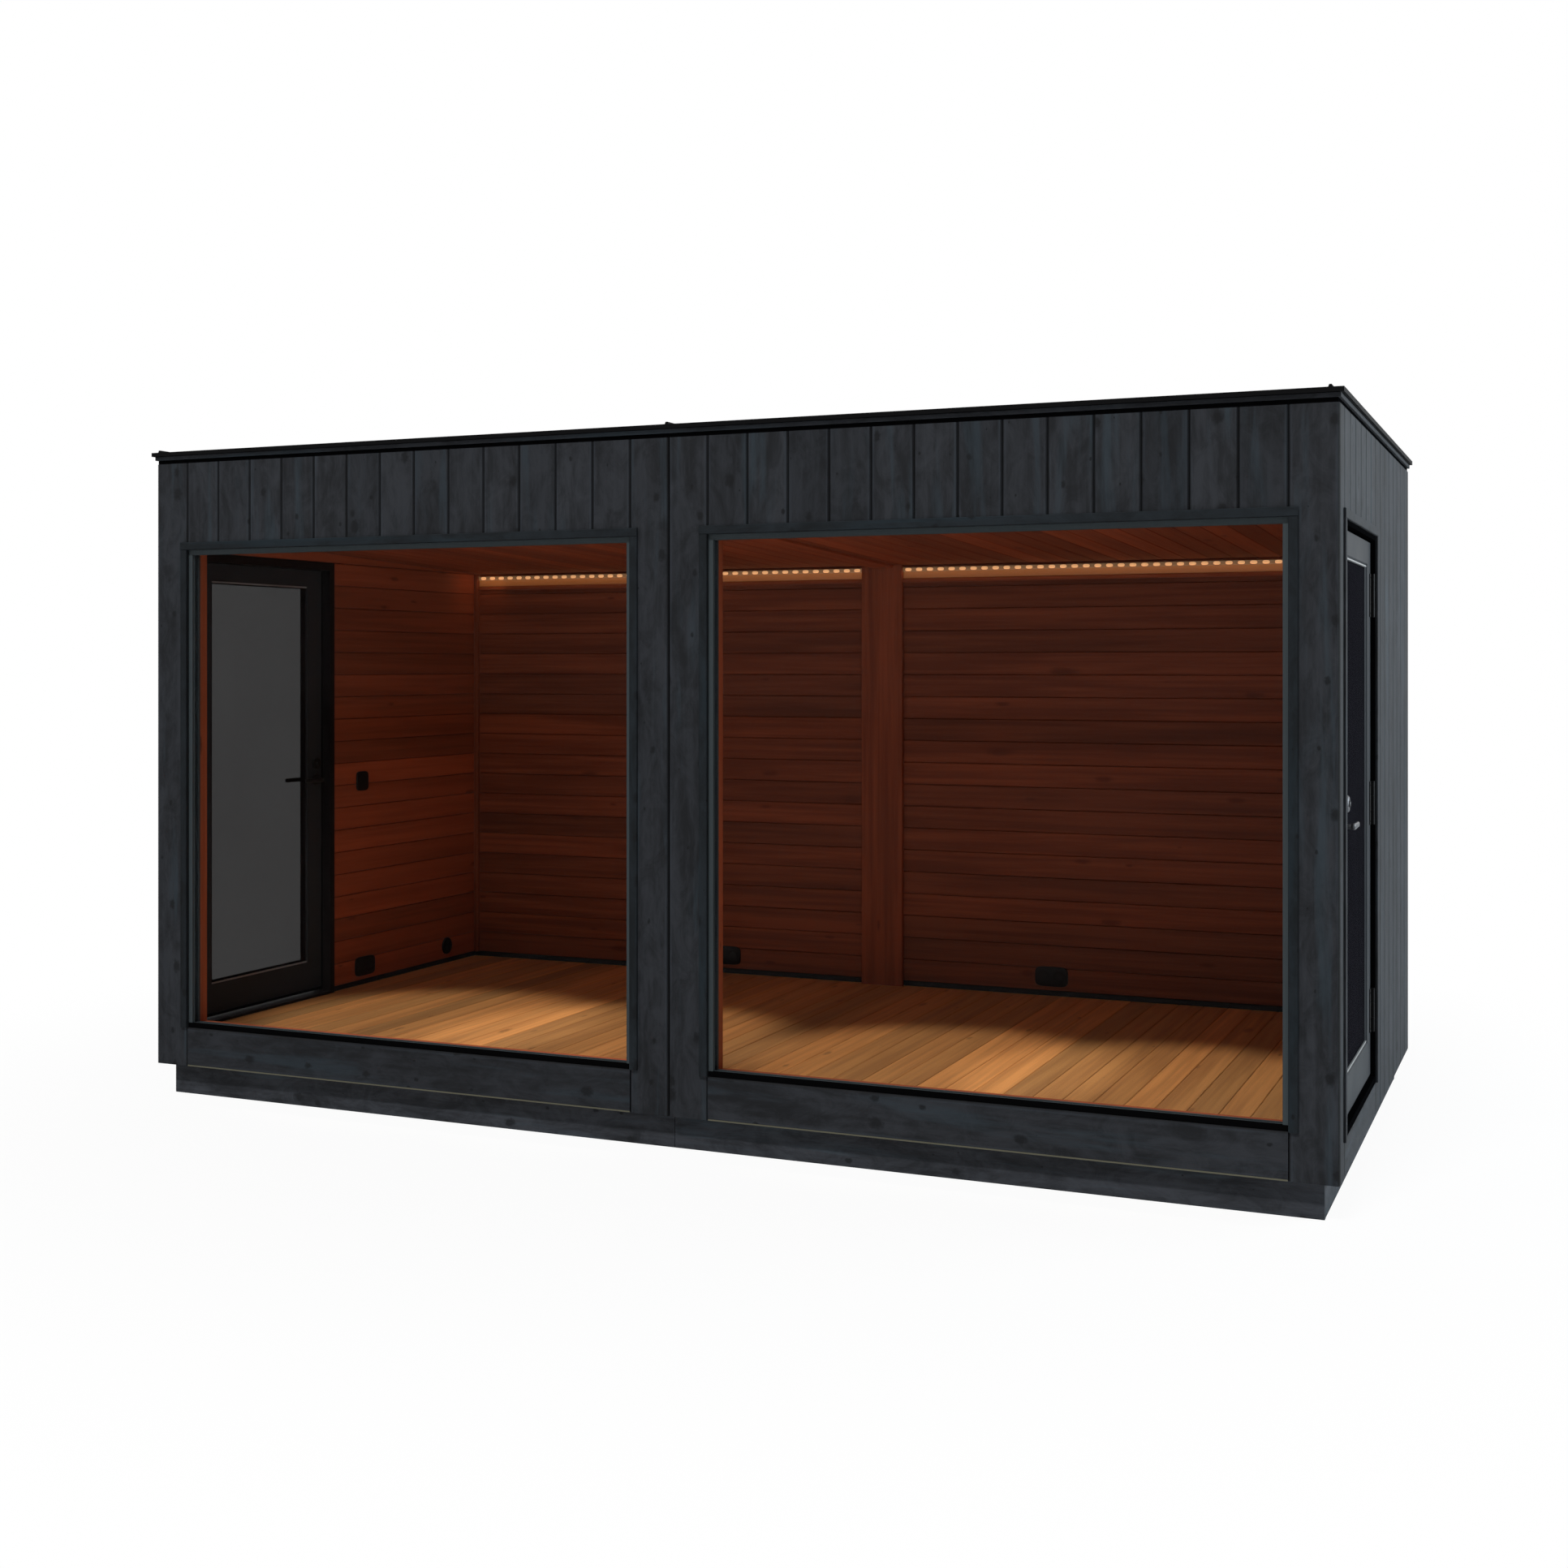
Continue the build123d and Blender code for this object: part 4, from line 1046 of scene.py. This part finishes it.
def wall_plates():
    """Sockets, the switch and the round outlet as moulded plates with their wells and rocker."""
    near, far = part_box("wall_plates")
    tall, double, round_plate = 0.086, 0.146, 0.08
    socket_z = near.z + tall / 2
    back_x = far.x - double / 2
    socket_y = near.y + double / 2
    left_x = -ROOM_END
    well_shift, pin_shift, switch_shift = 0.0355, 0.0095, 0.02
    outlet_to_corner = 0.263
    from_left = (Y, Z, X)
    work, holes = bmesh.new(), bmesh.new()

    def plate(centre, axes, wide):
        """The rounded plate itself."""
        rings = [(0, 0), (0, 0.004), (-0.002, 0.0065), (-0.006, 0.0072)]
        lofted(work, [superellipse(centre, axes, wide + k, tall + k, depth, 5.0, 48) for k, depth in rings])

    def well(centre, axes):
        """A round socket well with a raised rim and two pin holes, each a black disc of painted shade."""
        rings = [(0.05, 0.0060, 4), (0.05, 0.0078, 4), (0.047, 0.0080, 4)]
        rings += [(0.041, 0.0080, 2), (0.039, 0.0076, 2), (0.037, 0.0050, 2)]
        lofted(work, [superellipse(centre, axes, across, across, depth, power) for across, depth, power in rings])
        # Each pin hole is a flat black disc on the well's floor: painted shade of the hole.
        for shift in (-pin_shift, pin_shift):
            turned(holes, centre + axes[0] * shift, axes, [(0.005, 0.0045), (0.005, 0.0052)], count=12)

    for centre, axes in (
        (Vector((-back_x, ROOM_BACK, socket_z)), FRONT),
        (Vector((back_x, ROOM_BACK, socket_z)), FRONT),
        (Vector((left_x, socket_y, socket_z)), from_left),
    ):
        plate(centre, axes, double)
        for shift in (-well_shift, well_shift):
            well(centre + axes[0] * shift, axes)

    switch = Vector((left_x, socket_y - switch_shift, far.z - tall / 2))
    plate(switch, from_left, tall)
    turned(work, switch, from_left, [(0.056, 0.0065), (0.056, 0.0076), (0.052, 0.0079)], power=5)

    outlet = Vector((left_x, ROOM_BACK - outlet_to_corner, socket_z))
    profile = [(1.0, 0.0), (1.0, 0.004), (0.95, 0.0072), (0.62, 0.0078), (0.55, 0.0078)]
    profile += [(0.5, 0.0045), (0.15, 0.0045), (0.12, 0.006)]
    turned(work, outlet, from_left, [(round_plate * across, depth) for across, depth in profile], count=40)
    built("socket_plates", work, "cabin", "black_plastic", ["wall_plates"], smooth=True)
    built("socket_hole_shades", holes, "cabin", "black_plastic", look="black_rubber_and_shade")


# Looks in place of the record's slots; the right door frame's and the wall cores' are painted shade.
LOOKS = {
    "left_door_frame": "black_joinery",
    "right_door_frame": "painted_shade_joinery",
    "back_walls": "painted_gap_shade",
    "left_wall": "painted_gap_shade",
}


def dress_frame():
    """Give every CAD node that stays its own finish, from the record's slots."""
    slots = {}
    for entry in frame["record"]["subparts"]:
        slots[entry["node"]] = entry["material_slot"]
    for plain in list(bpy.data.materials):
        bpy.data.materials.remove(plain)
    for node, piece in frame["nodes"].items():
        piece.data.materials.clear()
        piece.data.materials.append(finish(LOOKS.get(node, slots[node])))


def softbox(name, place, target, wide, tall, power, colour=(1, 1, 1)):
    """A rectangular lamp that faces a target, with its long side level."""
    lamp = bpy.data.lights.new(name, "AREA")
    lamp.color, lamp.energy = colour, power
    lamp.shape, lamp.size, lamp.size_y = "RECTANGLE", wide, tall
    box = placed(name, lamp, place)
    box.rotation_euler = (target - place).to_track_quat("-Z", "Y").to_euler()
    return box


def downlight(name, place, radius, power):
    """A lamp under the ceiling that lights a soft disc of the floor of that radius."""
    lamp = bpy.data.lights.new(name, "SPOT")
    lamp.energy = power
    lamp.color = (1.0, 0.92, 0.82)
    lamp.spot_size = 2 * math.atan(radius / (place.z - FLOOR_TOP))
    lamp.spot_blend = 0.6
    lamp.shadow_soft_size = 0.03
    placed(name, lamp, place)


INDOORS = (
    "floor_decking",
    "left_lining_boards",
    "right_lining_boards",
    "back_lining_boards",
    "ceiling_boards",
    "pilaster_board",
    "ceiling_cover_board",
    "corner_batten_pieces",
    "light_batten_pieces",
    "light_channel",
    "painted_strip_glow",
    "socket_plates",
)
DOWNLIGHTS = (0.86, 1.7, 2.98, 3.84)  # from the left end wall


def studio_floor():
    """A pale floor that the camera sees fade to white away from the cabin."""
    reach = 60.0
    corners = [(x * reach, y * reach, 0) for x, y in ((-1, -1), (1, -1), (1, 1), (-1, 1))]
    mesh = bpy.data.meshes.new("studio_floor")
    mesh.from_pydata(corners, [], [(0, 1, 2, 3)])
    studio = placed("studio_floor", mesh)
    paint = Paint("studio_floor")
    distance = paint.node("ShaderNodeVectorMath", {"operation": "LENGTH"}, {0: paint.place()}, "Value")
    paint.set(base_color=linear(240, 240, 240), roughness=0.95)
    seen = paint.node("ShaderNodeLightPath", {}, {}, "Is Camera Ray")
    white = paint.node("ShaderNodeEmission", {}, {"Color": (1, 1, 1), "Strength": 1.0})
    fade = (paint.span(distance, 2.0, 4.5) * 0.07 + 0.93) * seen
    mixed = paint.node("ShaderNodeMixShader", {}, {0: fade, 1: Wire(paint, paint.shader.outputs[0]), 2: white})
    paint.feed(paint.tree.nodes["Material Output"].inputs["Surface"], mixed)
    mesh.materials.append(paint.material)


def surroundings(fill):
    """White to the camera, through glass and in sheen, and an even light of strength fill for the rest."""
    world = bpy.data.worlds.new("studio")
    bpy.context.scene.world = world
    world.use_nodes = True
    sky = Nodes(world.node_tree)
    rays = sky.node("ShaderNodeLightPath", {}, {}).socket.node.outputs
    shown = Wire(sky, rays["Is Camera Ray"])
    for kind in ("Is Transmission Ray", "Is Glossy Ray"):
        shown = shown.math("MAXIMUM", shown, Wire(sky, rays[kind]))
    background = sky.tree.nodes["Background"]
    sky.feed(background.inputs["Color"], (1, 1, 1))
    sky.feed(background.inputs["Strength"], shown * (1 - fill) + fill)


def outdoor_lamps(settings):
    """The distant light in front, which leaves the room out, and the light on the right end."""
    target = Vector((0, WALL_FRONT, WINDOW_HEAD))
    turn, height = settings.key_turn, settings.key_height
    ahead = Vector((-math.sin(turn) * math.cos(height), -math.cos(turn) * math.cos(height), math.sin(height)))
    distance, wide, tall = 30.0, 7.5, 1.5
    key = softbox("key_light", target + ahead * distance, target, wide, tall, settings.key)
    indoors = bpy.data.collections.new("indoors")
    for name in INDOORS:
        indoors.objects.link(bpy.data.objects[name])
    for entry in indoors.collection_objects:
        entry.light_linking.link_state = "EXCLUDE"
    key.light_linking.receiver_collection = indoors
    beside, end_wall = Vector((8.0, 2.6, 3.2)), Vector((WALL_RIGHT, 0.6, 1.2))
    width, daylight = 4.0, (0.8, 0.93, 1.0)
    softbox("side_light", beside, end_wall, width, width, settings.side, daylight)


def room_lamps(settings, warm):
    """Four downlights, dim light from both faces of the room, and the light of the strips."""
    behind_front, under_ceiling, disc = 0.6, 0.02, 0.85
    for i, x in enumerate(DOWNLIGHTS):
        spot = Vector((x + WALL_LEFT, WALL_FRONT + behind_front, CEILING_BACK - under_ceiling))
        downlight(f"downlight_{i}", spot, disc, settings.downlight)
    middle = Vector((0, (ROOM_FRONT + ROOM_BACK) / 2, 0))
    off_face, off_walls = 0.03, 0.2
    high_up, low_down = middle + Z * (CEILING_BACK - off_face), middle + Z * (FLOOR_TOP + off_face)
    wide, tall = 2 * (ROOM_END - off_walls), ROOM_BACK - ROOM_FRONT - 2 * off_walls
    for name, place, target, power in (
        ("room_light", high_up, low_down, settings.room),
        ("floor_glow", low_down, high_up, settings.glow),
    ):
        dim = softbox(name, place, target, wide, tall, power, warm)
        dim.visible_camera = dim.visible_glossy = False

    near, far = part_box("light_strip")
    run = far.x - high("pilaster").x
    for name, x in (("left_strip_light", near.x + run / 2), ("right_strip_light", far.x - run / 2)):
        spot, slim = Vector((x, ROOM_BACK - 0.025, near.z)), 0.006
        softbox(name, spot, spot + Vector((0, 0.006, -0.01)), run, slim, settings.strip, warm)
    wide, tall = 0.12, 0.03
    spot = Vector((near.x + wide, ROOM_BACK - 0.1, near.z))
    softbox("corner_light", spot, spot + Vector((-0.012, 0.004, -0.008)), wide, tall, settings.strip / 4, warm)


def camera(settings):
    """The photographer's level camera."""
    lens = bpy.data.cameras.new("camera")
    lens.lens = settings.lens
    lens.sensor_width = 36.0
    lens.shift_y = settings.shift
    lens.clip_end = 200.0
    eye = placed("camera", lens, settings.place)
    eye.rotation_euler = (math.pi / 2, 0, settings.turn)
    bpy.context.scene.camera = eye


# Operators, in the order in which they run


class CABIN_OT_dress_frame(bpy.types.Operator):
    """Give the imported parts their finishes"""

    bl_idname = "cabin.dress_frame"
    bl_label = "Finishes"

    def execute(self, context):
        dress_frame()
        return {"FINISHED"}


class CABIN_OT_outside_boards(bpy.types.Operator):
    """Board the four outside walls"""

    bl_idname = "cabin.outside_boards"
    bl_label = "Outside boards"

    def execute(self, context):
        outer_walls(context.scene.cabin_sizes.outside_groove)
        base_boards()
        return {"FINISHED"}


class CABIN_OT_room_linings(bpy.types.Operator):
    """Line the room's walls, ceiling and floor"""

    bl_idname = "cabin.room_linings"
    bl_label = "Linings and floor"

    def execute(self, context):
        sizes = context.scene.cabin_sizes
        room_linings(sizes.inside_groove, sizes.lining_rows)
        ceiling_boards(sizes.inside_groove, sizes.ceiling_rows)
        floor_boards(sizes.inside_groove, sizes.floor_rows)
        cedar_trims()
        return {"FINISHED"}


class CABIN_OT_windows(bpy.types.Operator):
    """Fit the windows' casings, gaskets and reveals"""

    bl_idname = "cabin.windows"
    bl_label = "Windows"

    def execute(self, context):
        window_joinery()
        return {"FINISHED"}


class CABIN_OT_doors(bpy.types.Operator):
    """Fit the doors' casings, beads, seals, levers, locks and screws"""

    bl_idname = "cabin.doors"
    bl_label = "Doors"

    def execute(self, context):
        door_joinery()
        lock_furniture()
        return {"FINISHED"}


class CABIN_OT_roof(bpy.types.Operator):
    """Cover the roof and board its edge"""

    bl_idname = "cabin.roof"
    bl_label = "Roof"

    def execute(self, context):
        roof_covering(context.scene.cabin_sizes.screw_pitch)
        return {"FINISHED"}


class CABIN_OT_fittings(bpy.types.Operator):
    """Fit the light strip, sockets and switch"""

    bl_idname = "cabin.fittings"
    bl_label = "Lights and sockets"

    def execute(self, context):
        light_strip(context.scene.cabin_sizes.light_pitch)
        wall_plates()
        return {"FINISHED"}


class CABIN_OT_stage(bpy.types.Operator):
    """Set the floor, the lights and the camera"""

    bl_idname = "cabin.stage"
    bl_label = "Stage"

    def execute(self, context):
        scene = context.scene
        scene.view_settings.view_transform = "Standard"
        scene.view_settings.look = "None"
        studio_floor()
        surroundings(scene.cabin_stage.fill)
        outdoor_lamps(scene.cabin_stage)
        room_lamps(scene.cabin_stage, scene.cabin_finishes.light)
        camera(scene.cabin_stage)
        return {"FINISHED"}


OPERATORS = (
    CABIN_OT_dress_frame,
    CABIN_OT_outside_boards,
    CABIN_OT_room_linings,
    CABIN_OT_windows,
    CABIN_OT_doors,
    CABIN_OT_roof,
    CABIN_OT_fittings,
    CABIN_OT_stage,
)


class CABIN_PT_panel(bpy.types.Panel):
    """The cabin's settings and steps in the 3D view's sidebar"""

    bl_label = "Sauna cabin"
    bl_idname = "CABIN_PT_panel"
    bl_space_type = "VIEW_3D"
    bl_region_type = "UI"
    bl_category = "Sauna cabin"

    def draw(self, context):
        for settings in (context.scene.cabin_sizes, context.scene.cabin_finishes, context.scene.cabin_stage):
            box = self.layout.box()
            for key in settings.bl_rna.properties.keys():
                if key not in {"rna_type", "name"}:
                    box.prop(settings, key)
        for operator in OPERATORS:
            self.layout.operator(operator.bl_idname)


SETTINGS = {"cabin_sizes": CabinSizes, "cabin_finishes": CabinFinishes, "cabin_stage": StageSettings}


def register():
    for group in SETTINGS.values():
        bpy.utils.register_class(group)
    for name, group in SETTINGS.items():
        setattr(bpy.types.Scene, name, PointerProperty(type=group))
    for operator in OPERATORS:
        bpy.utils.register_class(operator)
    bpy.utils.register_class(CABIN_PT_panel)


def unregister():
    bpy.utils.unregister_class(CABIN_PT_panel)
    for operator in reversed(OPERATORS):
        bpy.utils.unregister_class(operator)
    for name in SETTINGS:
        delattr(bpy.types.Scene, name)
    for group in reversed(list(SETTINGS.values())):
        bpy.utils.unregister_class(group)


def main():
    """Build and stage the cabin."""
    register()
    for operator in OPERATORS:
        area, step = operator.bl_idname.split(".")
        getattr(getattr(bpy.ops, area), step)()


if __name__ == "__main__":
    main()
